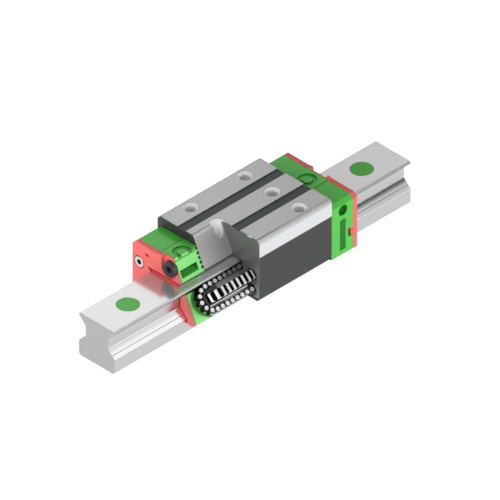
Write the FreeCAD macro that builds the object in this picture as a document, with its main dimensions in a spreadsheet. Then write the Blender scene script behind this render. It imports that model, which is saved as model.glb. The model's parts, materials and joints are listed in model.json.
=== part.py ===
"""Roller linear guide, size 25, with a narrow carriage cut open at its front right to show its circuits.

Frame, in millimetres: X runs along the rail with the front end at -X, Z is up, and the origin is the centre
of the rail's underside. Right is the -Y side. A section is given as (w, z), where w is the distance
sideways from the middle plane, so that one outline serves both sides.
"""
import FreeCAD, Part
import math
import os
import re

import Sketcher

Vector = FreeCAD.Vector

SIZES = {
    # Rail
    "rail_width": 23.0,
    "rail_height": 23.6,
    "rail_length": 190.0,
    "neck_depth": 4.3,
    "head_side": 0.69,
    "rail_edge_break": 0.6,
    "rail_foot_chamfer": 0.9,
    "neck_fillet": 0.8,
    "hole_pitch": 30.0,
    "hole_count": 6,
    "hole_bore": 7.0,
    "head_bore": 11.0,
    "head_depth": 9.0,
    "disc_thickness": 3.0,
    "disc_clearance": 0.04,
    "disc_below_top": 0.05,
    # Rollers and their circuits
    "roller_diameter": 2.8,
    "roller_length": 4.6,
    "roller_gap": 0.3,
    "raceway_clearance": 0.02,
    "row_inset": 0.9,
    "row_spread": 8.3,
    "outer_turn_setback": 5.5,
    "inner_turn_setback": 0.95,
    "track_clearance": 0.05,
    "turn_clearance": 0.5,
    "shown_roller_faces": 12,
    "covered_roller_faces": 6,
    # Steel block
    "assembly_height": 40.0,
    "block_flank": 5.1,
    "block_length": 64.5,
    "block_below_circuit": 7.65,
    "block_top_round": 2.5,
    "block_foot_chamfer": 0.5,
    "channel_side_gap": 1.9,
    "channel_top_gap": 0.9,
    "channel_fillet": 0.6,
    "nose_inset": 1.4,
    "ground_band": 9.1,
    "band_step": 0.2,
    "groove_inner": 5.9,
    "groove_outer": 11.1,
    "groove_depth": 0.5,
    "mount_pitch_x": 35.0,
    "mount_pitch_y": 17.5,
    "mount_drill": 5.0,
    "mount_depth": 9.0,
    "mount_sink": 7.4,
    "drill_tip_slope": 0.6,
    "tube_wall": 0.31,
    # Cut that opens the front right
    "section_x": 14.4,
    "section_top_w": -0.86,
    "section_slope": 0.479,
    "section_round": 2.0,
    "cut_margin": 2.0,
    # End caps and end seals
    "cap_length": 14.25,
    "cap_rise": 11.9,
    "cap_inset": 0.7,
    "cap_below_circuit": 9.75,
    "cap_corner": 2.0,
    "cap_rail_gap": 0.6,
    "crown_half": 7.0,
    "crown_step": 0.3,
    "seal_thickness": 2.45,
    "seal_rail_gap": 0.3,
    "lip_height": 1.4,
    "lip_depth": 0.8,
    "relief": 1.5,
    "mark_w": 13.8,
    "mark_rise": 7.3,
    "mark_width": 2.4,
    "mark_height": 1.2,
    "mark_depth": 0.5,
    "port_rise": 6.2,
    "port_notch_half": 4.8,
    "port_notch_depth": 1.9,
    "plug_head": 7.8,
    "plug_thread": 6.0,
    "plug_depth": 6.0,
    "plug_clearance": 0.05,
    "plug_socket": 3.0,
    "plug_socket_depth": 2.6,
    "boss_x": 7.7,
    "boss_ring": 9.2,
    "boss_core": 5.2,
    "boss_depth": 0.9,
    "side_port_drop": 5.5,
    "side_port": 5.4,
    "side_port_depth": 2.0,
    "panel_depth": 0.7,
    "panel_width": 3.8,
    "panel_foot": 2.5,
    "panel_drop": 10.7,
    "tab_drop": 1.75,
    "tab_height": 4.5,
    "tab_length": 3.2,
    "tab_reach": 1.2,
    "tab_depth": 1.4,
    "tab_clearance": 0.1,
    "tab_inset": 0.3,
    # Openings in the front cap's cut face
    "gallery_rise": 2.5,
    "gallery_height": 3.3,
    "gallery_near": 3.0,
    "gallery_far": 13.4,
    "gallery_depth": 3.0,
    "vent_rise": 2.0,
    "vent_pitch": 2.08,
    "vent_count": 5,
    "vent_size": 1.15,
    "vent_depth": 1.6,
    "seam_drop": 1.6,
    "seam_height": 0.25,
    "seam_depth": 0.3,
    # Cap screws
    "screw_inset": 5.0,
    "screw_rise": 1.0,
    "screw_shank": 3.0,
    "screw_head": 5.5,
    "screw_reach": 6.0,
    "screw_socket": 2.5,
    "screw_socket_depth": 1.3,
    "screw_head_recess": 6.5,
    "screw_clearance": 0.05,
    # Retainers and bottom seals
    "retainer_gap": 0.3,
    "retainer_roller_gap": 0.15,
    "retainer_wall_gap": 0.1,
    "retainer_rise": 0.6,
    "retainer_shoulder": 0.9,
    "centre_retainer_half": 1.45,
    "bottom_seal_thickness": 1.5,
    "bottom_seal_inset": 1.4,
}

SIDES = {"left": 1, "right": -1}
ENDS = {"front": -1, "rear": 1}

# Rail and circuits
HALF_RAIL = "(rail_width / 2)"
NECK_HALF = f"({HALF_RAIL} - neck_depth)"
ROW_W = f"({HALF_RAIL} - row_inset)"
RETURN_W = f"({ROW_W} + row_spread)"
CIRCUIT_W = f"({ROW_W} + row_spread / 2)"
ROLLER_TO_RAIL = "sqrt(2) * (roller_diameter / 2 + raceway_clearance)"
HEAD_DROP = f"(rail_edge_break + head_side + row_inset + row_spread / 2 + {ROLLER_TO_RAIL})"
CIRCUIT_Z = f"(rail_height - {HEAD_DROP})"
UPPER_Z = f"({CIRCUIT_Z} + row_spread / 2)"
LOWER_Z = f"({CIRCUIT_Z} - row_spread / 2)"
TURN_RADIUS = "(row_spread * sqrt(2) / 2)"
TRACK_HALF = "(roller_diameter / 2 + track_clearance)"
TRACK_WIDTH = "(roller_length + 2 * track_clearance)"
TURN_REACH = f"({TURN_RADIUS} + {TRACK_HALF})"

# Block
HALF_STEEL = "(block_length / 2)"
HALF_BLOCK = f"({RETURN_W} + block_flank)"
BLOCK_UNDERSIDE = f"({CIRCUIT_Z} - block_below_circuit)"
BLOCK_FLANK_GAP = "(roller_diameter + 2 * raceway_clearance)"
CHANNEL_HALF = f"({HALF_RAIL} + channel_side_gap)"
CHANNEL_TOP = "(rail_height + channel_top_gap)"
NOSE_HALF = f"({HALF_RAIL} - nose_inset)"
BAND_LOW = "(assembly_height - ground_band)"
RETURN_BORE = f"(sqrt({TRACK_WIDTH} * {TRACK_WIDTH} + 4 * {TRACK_HALF} * {TRACK_HALF}) + 2 * tube_wall)"

# End caps and end seals
HALF_CAPS = f"({HALF_STEEL} + cap_length)"
HALF_TOTAL = f"({HALF_CAPS} + seal_thickness)"
CAP_TOP = "(rail_height + cap_rise)"
CAP_HALF = f"({HALF_BLOCK} - cap_inset)"
CAP_UNDERSIDE = f"({CIRCUIT_Z} - cap_below_circuit)"
PORT_Z = "(rail_height + port_rise)"
TAB_LOW = f"({CIRCUIT_Z} - tab_drop)"
SCREW_AT = (f"({HALF_BLOCK} - screw_inset)", "(rail_height + screw_rise)")

doc = FreeCAD.newDocument("linear_guide")
sheet = doc.addObject("Spreadsheet::Sheet", "sizes")
for row, (name, value) in enumerate(SIZES.items(), start=1):
    sheet.set(f"A{row}", name)
    sheet.set(f"B{row}", str(value))
    sheet.setAlias(f"B{row}", name)
doc.recompute()

parts = []


def linked(text):
    """Writes a formula's size names as references to the sheet's cells."""
    def cell(found):
        return f"sizes.{found[0]}" if found[0] in SIZES else found[0]

    return re.sub(r"[a-z]\w*", cell, str(text))


def size(text):
    """Works a formula out from the sheet as it stands."""
    return float(sheet.evalExpression(linked(text)))


def bind(thing, prop, text):
    thing.setExpression(prop, linked(text))


def new_part(label):
    """Starts one piece; its label names its file."""
    part = doc.addObject("PartDesign::Body", label)
    part.Label = label
    parts.append(part)
    return part


def new_sketch(part, name, role, start="0"):
    """Puts a sketch on one of the part's own origin planes, moved along the plane's normal by start."""
    drawing = part.newObject("Sketcher::SketchObject", name)
    plane = [feature for feature in part.Origin.OriginFeatures if feature.Role == role][0]
    drawing.AttachmentSupport = (plane, "")
    drawing.MapMode = "FlatFace"
    bind(drawing, "AttachmentOffset.Base.z", start)
    return drawing


def fix_point(drawing, line, end, point):
    """Holds a point of the sketch at two formulas."""
    for kind, text in zip(("DistanceX", "DistanceY"), point):
        number = drawing.addConstraint(Sketcher.Constraint(kind, -1, 1, line, end, size(text)))
        bind(drawing, f"Constraints[{number}]", text)


def polygon(drawing, points):
    """Draws a closed outline through points given as pairs of formulas."""
    places = [Vector(size(across), size(up), 0) for across, up in points]
    first = drawing.GeometryCount
    count = len(places)
    drawing.addGeometry([Part.LineSegment(places[i], places[(i + 1) % count]) for i in range(count)], False)
    joints = [
        Sketcher.Constraint("Coincident", first + i, 2, first + (i + 1) % count, 1) for i in range(count)
    ]
    drawing.addConstraint(joints)
    for i, point in enumerate(points):
        fix_point(drawing, first + i, 1, point)


def rectangle(drawing, low, high):
    polygon(drawing, [(low[0], low[1]), (high[0], low[1]), (high[0], high[1]), (low[0], high[1])])


def circle(drawing, centre, diameter):
    """Draws a circle about a point given as a pair of formulas."""
    place = Vector(size(centre[0]), size(centre[1]), 0)
    ring = drawing.addGeometry(Part.Circle(place, Vector(0, 0, 1), size(diameter) / 2), False)
    fix_point(drawing, ring, 3, centre)
    number = drawing.addConstraint(Sketcher.Constraint("Diameter", ring, size(diameter)))
    bind(drawing, f"Constraints[{number}]", diameter)


def extrude(part, kind, name, drawing, length, both_ways=False):
    """Pads or pockets a sketch along its plane's normal, or to both sides of it."""
    feature = part.newObject(f"PartDesign::{kind}", name)
    feature.Profile = drawing
    if both_ways:
        feature.SideType = "Symmetric"
    bind(feature, "Length", length)
    feature.Reversed = kind == "Pocket" and not both_ways
    return feature


def cut_check(part, feature):
    """Makes sure that a cut took material away."""
    doc.recompute()
    before = feature.BaseFeature.Shape.Volume
    if feature.Shape.Volume > before - 1e-3:
        raise RuntimeError(f"{part.Label}: {feature.Name} cuts nothing")


def pad(part, name, drawing, length, both_ways=False):
    return extrude(part, "Pad", f"{part.Label}_{name}", drawing, length, both_ways)


def pocket(part, name, drawing, length, both_ways=False):
    feature = extrude(part, "Pocket", f"{part.Label}_{name}", drawing, length, both_ways)
    cut_check(part, feature)
    return feature


def mirrored(half):
    """Closes a half outline, given from its top to its end on the middle plane, over to the other side."""
    return half + [(f"-1 * ({across})", up) for across, up in reversed(half)]


def sided(side, points):
    """Turns (w, z) into (y, z) on one side."""
    return [(f"{SIDES[side]} * ({across})", up) for across, up in points]


def flank(across, gap="0"):
    """Height of a raceway above the circuit's middle at the width across, set off from the rail by gap."""
    toward_rail = f"sqrt(2) * (roller_diameter / 2 + raceway_clearance - {gap})"
    return f"({across} - {ROW_W} + row_spread / 2 + {toward_rail})"


def rail_side(gap, bottom, top):
    """Rail's side outline from the bottom up, set off by gap."""
    outer = f"({HALF_RAIL} + {gap})"
    neck = f"({NECK_HALF} + {gap})"
    return [
        (outer, bottom),
        (outer, f"{CIRCUIT_Z} - {flank(outer, gap)}"),
        (neck, f"{CIRCUIT_Z} - {flank(neck, gap)}"),
        (neck, f"{CIRCUIT_Z} + {flank(neck, gap)}"),
        (outer, f"{CIRCUIT_Z} + {flank(outer, gap)}"),
        (outer, top),
    ]


def span(end, near, far):
    """Start and length along X of a stretch between two distances from the middle, at one end."""
    start = near if ENDS[end] > 0 else f"-1 * {far}"
    return start, f"{far} - {near}"


def edges_at(shape, across, up):
    """Names the straight edges along X that run through the point (y, z)."""
    names = []
    for number, edge in enumerate(shape.Edges, start=1):
        box = edge.BoundBox
        along = box.XLength > 1 and box.YLength < 1e-6 and box.ZLength < 1e-6
        if along and abs(box.YMin - across) < 1e-3 and abs(box.ZMin - up) < 1e-3:
            names.append(f"Edge{number}")
    return names


def round_edges(part, name, places, radius, kind="Fillet"):
    """Rounds or chamfers the edges along X at the given (y, z) formulas."""
    doc.recompute()
    base = part.Tip
    names = [edge for across, up in places for edge in edges_at(base.Shape, size(across), size(up))]
    if not names:
        raise RuntimeError(f"{part.Label}: no edge to round for {name}")
    feature = part.newObject(f"PartDesign::{kind}", f"{part.Label}_{name}")
    feature.Base = (base, names)
    bind(feature, "Radius" if kind == "Fillet" else "Size", radius)
    doc.recompute()
    return feature


def row_along_rail(part, name, features):
    """Repeats features at the rail's hole pitch."""
    pattern = part.newObject("PartDesign::LinearPattern", f"{part.Label}_{name}")
    pattern.Originals = features
    axis = [feature for feature in part.Origin.OriginFeatures if feature.Role == "X_Axis"][0]
    pattern.Direction = (axis, [""])
    bind(pattern, "Length", "hole_pitch * (hole_count - 1)")
    bind(pattern, "Occurrences", "hole_count")
    part.Tip = pattern
    doc.recompute()


FIRST_HOLE = "-1 * hole_pitch * (hole_count - 1) / 2"


def make_rail():
    """Ground rail with two 45 degree raceways a side and counterbored fixing holes."""
    rail = new_part("rail")
    drawing = new_sketch(rail, "rail_section", "YZ_Plane", "-1 * rail_length / 2")
    side = rail_side("0", "rail_foot_chamfer", "rail_height - rail_edge_break")
    side = [(f"{HALF_RAIL} - rail_foot_chamfer", "0")] + side
    side += [(f"{HALF_RAIL} - rail_edge_break", "rail_height")]
    polygon(drawing, mirrored(side))
    pad(rail, "bar", drawing, "rail_length")
    neck = [(f"{sign} * {NECK_HALF}", f"{CIRCUIT_Z} {way} {flank(NECK_HALF)}")
            for sign in (1, -1) for way in ("+", "-")]
    round_edges(rail, "neck_fillet", neck, "neck_fillet")
    drawing = new_sketch(rail, "fixing_bore", "XY_Plane", "0")
    circle(drawing, (FIRST_HOLE, "0"), "hole_bore")
    bore = pocket(rail, "bore", drawing, "rail_height")
    drawing = new_sketch(rail, "head_counterbore", "XY_Plane", "rail_height - head_depth")
    circle(drawing, (FIRST_HOLE, "0"), "head_bore")
    head = pocket(rail, "head", drawing, "head_depth")
    row_along_rail(rail, "holes", [bore, head])


def make_hole_caps():
    """Plastic discs pressed into the rail's counterbores."""
    caps = new_part("rail_hole_caps")
    drawing = new_sketch(caps, "disc", "XY_Plane", "rail_height - disc_below_top - disc_thickness")
    circle(drawing, (FIRST_HOLE, "0"), "head_bore - 2 * disc_clearance")
    disc = pad(caps, "pad", drawing, "disc_thickness")
    row_along_rail(caps, "row", [disc])


def section_w(up):
    """Width of the inclined display cut at the height up."""
    return f"(section_top_w + section_slope * (assembly_height - {up}))"


def cut_section(part, start, length):
    """Takes away what lies outside the inclined plane at the right."""
    above = "(assembly_height + cut_margin)"
    below = "(-1 * cut_margin)"
    outside = f"({HALF_BLOCK} + cut_margin)"
    drawing = new_sketch(part, f"{part.Label}_section_line", "YZ_Plane", start)
    corners = [(section_w(above), above), (outside, above), (outside, below), (section_w(below), below)]
    polygon(drawing, sided("right", corners))
    return pocket(part, "section", drawing, length)


def mount_holes(block):
    """Six tapped holes in the top, countersunk; the one that the display cut opens shows the drill's cone."""
    for column, x in (("front", "-1 * mount_pitch_x / 2"), ("rear", "mount_pitch_x / 2")):
        for place in (-1, 0, 1):
            tag = f"{column}_{place + 1}"
            drawing = new_sketch(block, f"mount_{tag}", "XZ_Plane", f"{place} * mount_pitch_y")
            drill = "mount_drill / 2"
            sink = "mount_sink / 2"
            top = "assembly_height"
            floor = f"({top} - mount_depth)"
            opened = (column, place) == ("front", 0)
            tip = f"{floor} - {drill} * drill_tip_slope" if opened else floor
            half = [
                (x, tip),
                (f"{x} + {drill}", floor),
                (f"{x} + {drill}", f"{top} - ({sink} - {drill})"),
                (f"{x} + {sink}", top),
                (x, top),
            ]
            polygon(drawing, half)
            groove = block.newObject("PartDesign::Groove", f"carriage_block_mount_{tag}")
            groove.Profile = drawing
            line = Part.LineSegment(Vector(size(x), 0, 0), Vector(size(x), size(top), 0))
            axis = drawing.addGeometry(line, True)
            fix_point(drawing, axis, 1, (x, "0"))
            fix_point(drawing, axis, 2, (x, top))
            groove.ReferenceAxis = (drawing, ["Axis0"])
            groove.Angle = 360
            cut_check(block, groove)


def make_block():
    """Hardened steel block: U section with raceways, return bores, tapped holes and the display cut."""
    block = new_part("carriage_block")
    drawing = new_sketch(block, "block_section", "YZ_Plane", f"-1 * {HALF_STEEL}")
    gap = BLOCK_FLANK_GAP
    low_side = f"({HALF_BLOCK} - band_step)"
    half = [
        (HALF_BLOCK, "assembly_height"),
        (HALF_BLOCK, BAND_LOW),
        (low_side, f"{BAND_LOW} - band_step"),
        (low_side, f"{BLOCK_UNDERSIDE} + block_foot_chamfer"),
        (f"{low_side} - block_foot_chamfer", BLOCK_UNDERSIDE),
        (CHANNEL_HALF, BLOCK_UNDERSIDE),
        (CHANNEL_HALF, f"{CIRCUIT_Z} - {flank(CHANNEL_HALF, gap)}"),
        (NOSE_HALF, f"{CIRCUIT_Z} - {flank(NOSE_HALF, gap)}"),
        (NOSE_HALF, f"{CIRCUIT_Z} + {flank(NOSE_HALF, gap)}"),
        (CHANNEL_HALF, f"{CIRCUIT_Z} + {flank(CHANNEL_HALF, gap)}"),
        (CHANNEL_HALF, CHANNEL_TOP),
    ]
    polygon(drawing, mirrored(half))
    pad(block, "bar", drawing, "block_length")
    corners = [(HALF_BLOCK, "assembly_height"), (f"-1 * {HALF_BLOCK}", "assembly_height")]
    round_edges(block, "top_round", corners, "block_top_round")
    corners = [(CHANNEL_HALF, CHANNEL_TOP), (f"-1 * {CHANNEL_HALF}", CHANNEL_TOP)]
    round_edges(block, "channel_fillet", corners, "channel_fillet")
    drawing = new_sketch(block, "top_grooves", "YZ_Plane", f"-1 * {HALF_STEEL}")
    for side in SIDES:
        corners = sided(side, [("groove_inner", "assembly_height - groove_depth"),
                               ("groove_outer", "assembly_height + cut_margin")])
        rectangle(drawing, *corners)
    pocket(block, "grooves", drawing, "block_length")
    drawing = new_sketch(block, "return_bores", "YZ_Plane", f"-1 * {HALF_STEEL}")
    for side in SIDES:
        for height in (UPPER_Z, LOWER_Z):
            circle(drawing, sided(side, [(RETURN_W, height)])[0], RETURN_BORE)
    pocket(block, "returns", drawing, "block_length")
    mount_holes(block)
    for end in ENDS:
        start, length = span(end, f"({HALF_STEEL} - screw_reach)", HALF_STEEL)
        drawing = new_sketch(block, f"{end}_screw_taps", "YZ_Plane", start)
        for side in SIDES:
            circle(drawing, sided(side, [SCREW_AT])[0], "screw_shank + 2 * screw_clearance")
        pocket(block, f"{end}_taps", drawing, length)
    cut_section(block, f"-1 * {HALF_STEEL}", f"{HALF_STEEL} - section_x")
    round_edges(block, "section_round", [("-1 * section_top_w", "assembly_height")], "section_round")


def turn_slot(part, name, side, end, circuit, radius):
    """Draws the slot, round at its far end, in the slanted plane of one circuit's turn."""
    outer = circuit == "upper"
    setback = "outer_turn_setback" if outer else "inner_turn_setback"
    hand = SIDES[side]
    way = ENDS[end]
    drawing = new_sketch(part, f"{part.Label}_{name}", "XZ_Plane")
    tilt = FreeCAD.Rotation(Vector(1, 0, 0), 45 * hand * (1 if outer else -1))
    drawing.AttachmentOffset = FreeCAD.Placement(Vector(0, 0, 0), tilt)
    bind(drawing, "AttachmentOffset.Base.y", CIRCUIT_Z)
    bind(drawing, "AttachmentOffset.Base.z", f"{-hand} * {CIRCUIT_W}")
    near = f"{way} * {HALF_STEEL}"
    far = f"{way} * ({HALF_STEEL} + {setback})"
    low = f"-1 * {radius}"
    places = [(near, low), (far, low), (far, radius), (near, radius)]
    corners = [Vector(size(x), size(y), 0) for x, y in places]
    lines = [(0, 1), (2, 3), (3, 0)]
    drawing.addGeometry([Part.LineSegment(corners[a], corners[b]) for a, b in lines], False)
    bend = Part.Circle(Vector(size(far), 0, 0), Vector(0, 0, 1), size(radius))
    turn = (-math.pi / 2, math.pi / 2) if way > 0 else (math.pi / 2, 3 * math.pi / 2)
    arc = drawing.addGeometry(Part.ArcOfCircle(bend, *turn), False)
    low_end, high_end = (1, 2) if way > 0 else (2, 1)
    pairs = [(0, 2, arc, low_end), (1, 1, arc, high_end), (1, 2, 2, 1), (2, 2, 0, 1)]
    drawing.addConstraint([Sketcher.Constraint("Coincident", *pair) for pair in pairs])
    fix_point(drawing, 0, 1, (near, low))
    fix_point(drawing, 0, 2, (far, low))
    fix_point(drawing, 1, 1, (far, radius))
    fix_point(drawing, 1, 2, (near, radius))
    centre = drawing.addConstraint(Sketcher.Constraint("DistanceX", -1, 1, arc, 3, size(far)))
    bind(drawing, f"Constraints[{centre}]", far)
    return drawing


def end_outline(gap):
    """Outline of an end cap or end seal, open below round the rail."""
    shoulder = f"({CAP_TOP} - crown_step)"
    half = [
        ("crown_half", CAP_TOP),
        ("crown_half", shoulder),
        (f"{CAP_HALF} - cap_corner", shoulder),
        (CAP_HALF, f"{shoulder} - cap_corner"),
        (CAP_HALF, CAP_UNDERSIDE),
    ]
    return mirrored(half + rail_side(gap, CAP_UNDERSIDE, f"rail_height + {gap}"))


def make_end_cap(end):
    """Plastic cap that turns the rollers round, with the grease port in its middle."""
    cap = new_part(f"{end}_end_cap")
    start, length = span(end, HALF_STEEL, HALF_CAPS)
    drawing = new_sketch(cap, f"{end}_cap_section", "YZ_Plane", start)
    polygon(drawing, end_outline("cap_rail_gap"))
    pad(cap, "shell", drawing, length)
    for side in SIDES:
        for circuit in ("upper", "lower"):
            reach = f"({TURN_REACH} + turn_clearance)"
            slot = turn_slot(cap, f"{side}_{circuit}_slot", side, end, circuit, reach)
            pocket(cap, f"{side}_{circuit}_turn", slot, TRACK_WIDTH, both_ways=True)
    port_start, port_length = span(end, f"({HALF_CAPS} - plug_depth)", HALF_CAPS)
    drawing = new_sketch(cap, f"{end}_port", "YZ_Plane", port_start)
    circle(drawing, ("0", PORT_Z), "plug_thread + 2 * plug_clearance")
    pocket(cap, "port", drawing, port_length)
    drawing = new_sketch(cap, f"{end}_screw_holes", "YZ_Plane", start)
    for side in SIDES:
        circle(drawing, sided(side, [SCREW_AT])[0], "screw_shank + 2 * screw_clearance")
    pocket(cap, "screw_holes", drawing, length)
    tab_start, tab_length = span(end, f"({HALF_CAPS} - tab_length)", HALF_CAPS)
    drawing = new_sketch(cap, f"{end}_tab_notches", "YZ_Plane", tab_start)
    for side in SIDES:
        low = (f"{CAP_HALF} - tab_depth", TAB_LOW)
        high = (f"{CAP_HALF} + cut_margin", f"{TAB_LOW} + tab_height")
        rectangle(drawing, *sided(side, [low, high]))
    pocket(cap, "tab_notches", drawing, tab_length)
    boss = f"{ENDS[end]} * ({HALF_STEEL} + boss_x)"
    drawing = new_sketch(cap, f"{end}_boss_ring", "XY_Plane", f"{CAP_TOP} - boss_depth")
    circle(drawing, (boss, "0"), "boss_ring")
    circle(drawing, (boss, "0"), "boss_core")
    pocket(cap, "boss", drawing, "boss_depth")
    for side in SIDES:
        if (end, side) == ("front", "right"):
            continue
        outward = -SIDES[side]
        face = CAP_HALF if outward > 0 else f"-1 * {CAP_HALF}"
        depth_start = f"{face} - side_port_depth" if outward > 0 else face
        drawing = new_sketch(cap, f"{end}_{side}_side_port", "XZ_Plane", depth_start)
        circle(drawing, (boss, f"{CAP_TOP} - side_port_drop"), "side_port")
        pocket(cap, f"{side}_side_port", drawing, "side_port_depth")
        depth_start = f"{face} - panel_depth" if outward > 0 else face
        drawing = new_sketch(cap, f"{end}_{side}_panel", "XZ_Plane", depth_start)
        low = (f"{boss} - panel_width / 2", f"{CAP_UNDERSIDE} + panel_foot")
        high = (f"{boss} + panel_width / 2", f"{CAP_TOP} - panel_drop")
        rectangle(drawing, low, high)
        pocket(cap, f"{side}_panel", drawing, "panel_depth")
    if end == "front":
        gallery_openings(cap)
        cut_section(cap, start, length)


def cut_face_opening(cap, name, far, near, low, high, depth):
    """Sinks a rectangle, from far to near beyond the block and low to high, in the inclined cut face."""
    middle = f"(({low} + {high}) / 2)"
    drawing = new_sketch(cap, name, "XZ_Plane", f"{section_w(middle)} - {depth}")
    rectangle(drawing, (f"-1 * ({HALF_STEEL} + {far})", low), (f"-1 * ({HALF_STEEL} + {near})", high))
    pocket(cap, name, drawing, f"2 * {depth}")


def gallery_openings(cap):
    """Grease gallery, vents beside the block and seam, which the inclined cut lays open."""
    low = "(rail_height + gallery_rise)"
    high = f"({low} + gallery_height)"
    cut_face_opening(cap, "gallery", "gallery_far", "gallery_near", low, high, "gallery_depth")
    for number in range(int(size("vent_count"))):
        low = f"(rail_height + vent_rise + {number} * vent_pitch)"
        cut_face_opening(cap, f"vent_{number}", "vent_size", "0", low, f"({low} + vent_size)", "vent_depth")
    low = f"({CAP_TOP} - seam_drop)"
    cut_face_opening(cap, "seam", "cap_length", "vent_size", low, f"({low} + seam_height)", "seam_depth")


def make_end_seal(end):
    """Wiper plate on the cap, with the port's recess, tabs at its sides and a stepped lip over the rail."""
    seal = new_part(f"{end}_end_seal")
    start, length = span(end, HALF_CAPS, HALF_TOTAL)
    drawing = new_sketch(seal, f"{end}_seal_section", "YZ_Plane", start)
    polygon(drawing, end_outline("seal_rail_gap"))
    pad(seal, "plate", drawing, length)
    drawing = new_sketch(seal, f"{end}_seal_holes", "YZ_Plane", start)
    circle(drawing, ("0", PORT_Z), "plug_head + 2 * plug_clearance")
    for side in SIDES:
        circle(drawing, sided(side, [SCREW_AT])[0], "screw_head_recess")
    pocket(seal, "holes", drawing, length)
    drawing = new_sketch(seal, f"{end}_reliefs", "YZ_Plane", start)
    for side in SIDES:
        corners = [(HALF_RAIL, "rail_height"), (f"{HALF_RAIL} + relief", "rail_height + relief")]
        rectangle(drawing, *sided(side, corners))
    pocket(seal, "reliefs", drawing, length)
    notch_start, notch_length = span(end, f"({HALF_TOTAL} - port_notch_depth)", HALF_TOTAL)
    drawing = new_sketch(seal, f"{end}_notch_round", "YZ_Plane", notch_start)
    circle(drawing, ("0", PORT_Z), "2 * port_notch_half")
    pocket(seal, "notch_round", drawing, notch_length)
    drawing = new_sketch(seal, f"{end}_notch", "YZ_Plane", notch_start)
    rectangle(drawing, ("-1 * port_notch_half", PORT_Z), ("port_notch_half", f"{CAP_TOP} + cut_margin"))
    pocket(seal, "notch", drawing, notch_length)
    lip_start, lip_length = span(end, f"({HALF_TOTAL} - lip_depth)", HALF_TOTAL)
    drawing = new_sketch(seal, f"{end}_lip_step", "YZ_Plane", lip_start)
    rectangle(drawing, (f"-1 * {HALF_RAIL}", "rail_height"), (HALF_RAIL, "rail_height + lip_height"))
    pocket(seal, "lip_step", drawing, lip_length)
    mark_start, mark_length = span(end, f"({HALF_TOTAL} - mark_depth)", HALF_TOTAL)
    drawing = new_sketch(seal, f"{end}_marks", "YZ_Plane", mark_start)
    for side in SIDES:
        low = ("mark_w - mark_width / 2", "rail_height + mark_rise - mark_height / 2")
        high = ("mark_w + mark_width / 2", "rail_height + mark_rise + mark_height / 2")
        rectangle(drawing, *sided(side, [low, high]))
    pocket(seal, "marks", drawing, mark_length)
    tab_start, tab_length = span(end, f"({HALF_CAPS} - tab_reach)", HALF_CAPS)
    drawing = new_sketch(seal, f"{end}_tabs", "YZ_Plane", tab_start)
    for side in SIDES:
        low = (f"{CAP_HALF} - tab_depth + tab_clearance", f"{TAB_LOW} + tab_clearance")
        high = (f"{CAP_HALF} - tab_inset", f"{TAB_LOW} + tab_height - tab_clearance")
        rectangle(drawing, *sided(side, [low, high]))
    pad(seal, "tabs", drawing, tab_length)
    if end == "front":
        cut_section(seal, start, f"{length} + tab_length")


def hexagon(drawing, centre, width):
    """Draws a hexagon by its width across flats."""
    reach = f"({width} / sqrt(3))"
    corners = [(1, 0), (0.5, 1), (-0.5, 1), (-1, 0), (-0.5, -1), (0.5, -1)]
    points = [(f"{centre[0]} + {a} * {reach}", f"{centre[1]} + {b} * {width} / 2") for a, b in corners]
    polygon(drawing, points)


def make_plug(end):
    """Screw plug of the grease port, with a hexagon socket."""
    plug = new_part(f"{end}_grease_plug")
    start, length = span(end, HALF_CAPS, HALF_TOTAL)
    drawing = new_sketch(plug, f"{end}_plug_head", "YZ_Plane", start)
    circle(drawing, ("0", PORT_Z), "plug_head")
    pad(plug, "head", drawing, length)
    start, length = span(end, f"({HALF_CAPS} - plug_depth)", HALF_CAPS)
    drawing = new_sketch(plug, f"{end}_plug_thread", "YZ_Plane", start)
    circle(drawing, ("0", PORT_Z), "plug_thread")
    pad(plug, "thread", drawing, length)
    socket_start, socket_length = span(end, f"({HALF_TOTAL} - plug_socket_depth)", HALF_TOTAL)
    drawing = new_sketch(plug, f"{end}_plug_hexagon", "YZ_Plane", socket_start)
    hexagon(drawing, ("0", PORT_Z), "plug_socket")
    pocket(plug, "socket", drawing, socket_length)


def make_screws(label, end, sides):
    """Socket head screws that hold seal and cap to the block."""
    screws = new_part(label)
    places = [sided(side, [SCREW_AT])[0] for side in sides]
    start, length = span(end, f"({HALF_STEEL} - screw_reach)", HALF_CAPS)
    drawing = new_sketch(screws, f"{label}_shank", "YZ_Plane", start)
    for place in places:
        circle(drawing, place, "screw_shank")
    pad(screws, "shank", drawing, length)
    start, length = span(end, HALF_CAPS, HALF_TOTAL)
    drawing = new_sketch(screws, f"{label}_head", "YZ_Plane", start)
    for place in places:
        circle(drawing, place, "screw_head")
    pad(screws, "head", drawing, length)
    start, length = span(end, f"({HALF_TOTAL} - screw_socket_depth)", HALF_TOTAL)
    drawing = new_sketch(screws, f"{label}_hexagon", "YZ_Plane", start)
    for place in places:
        hexagon(drawing, place, "screw_socket")
    pocket(screws, "socket", drawing, length)


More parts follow.
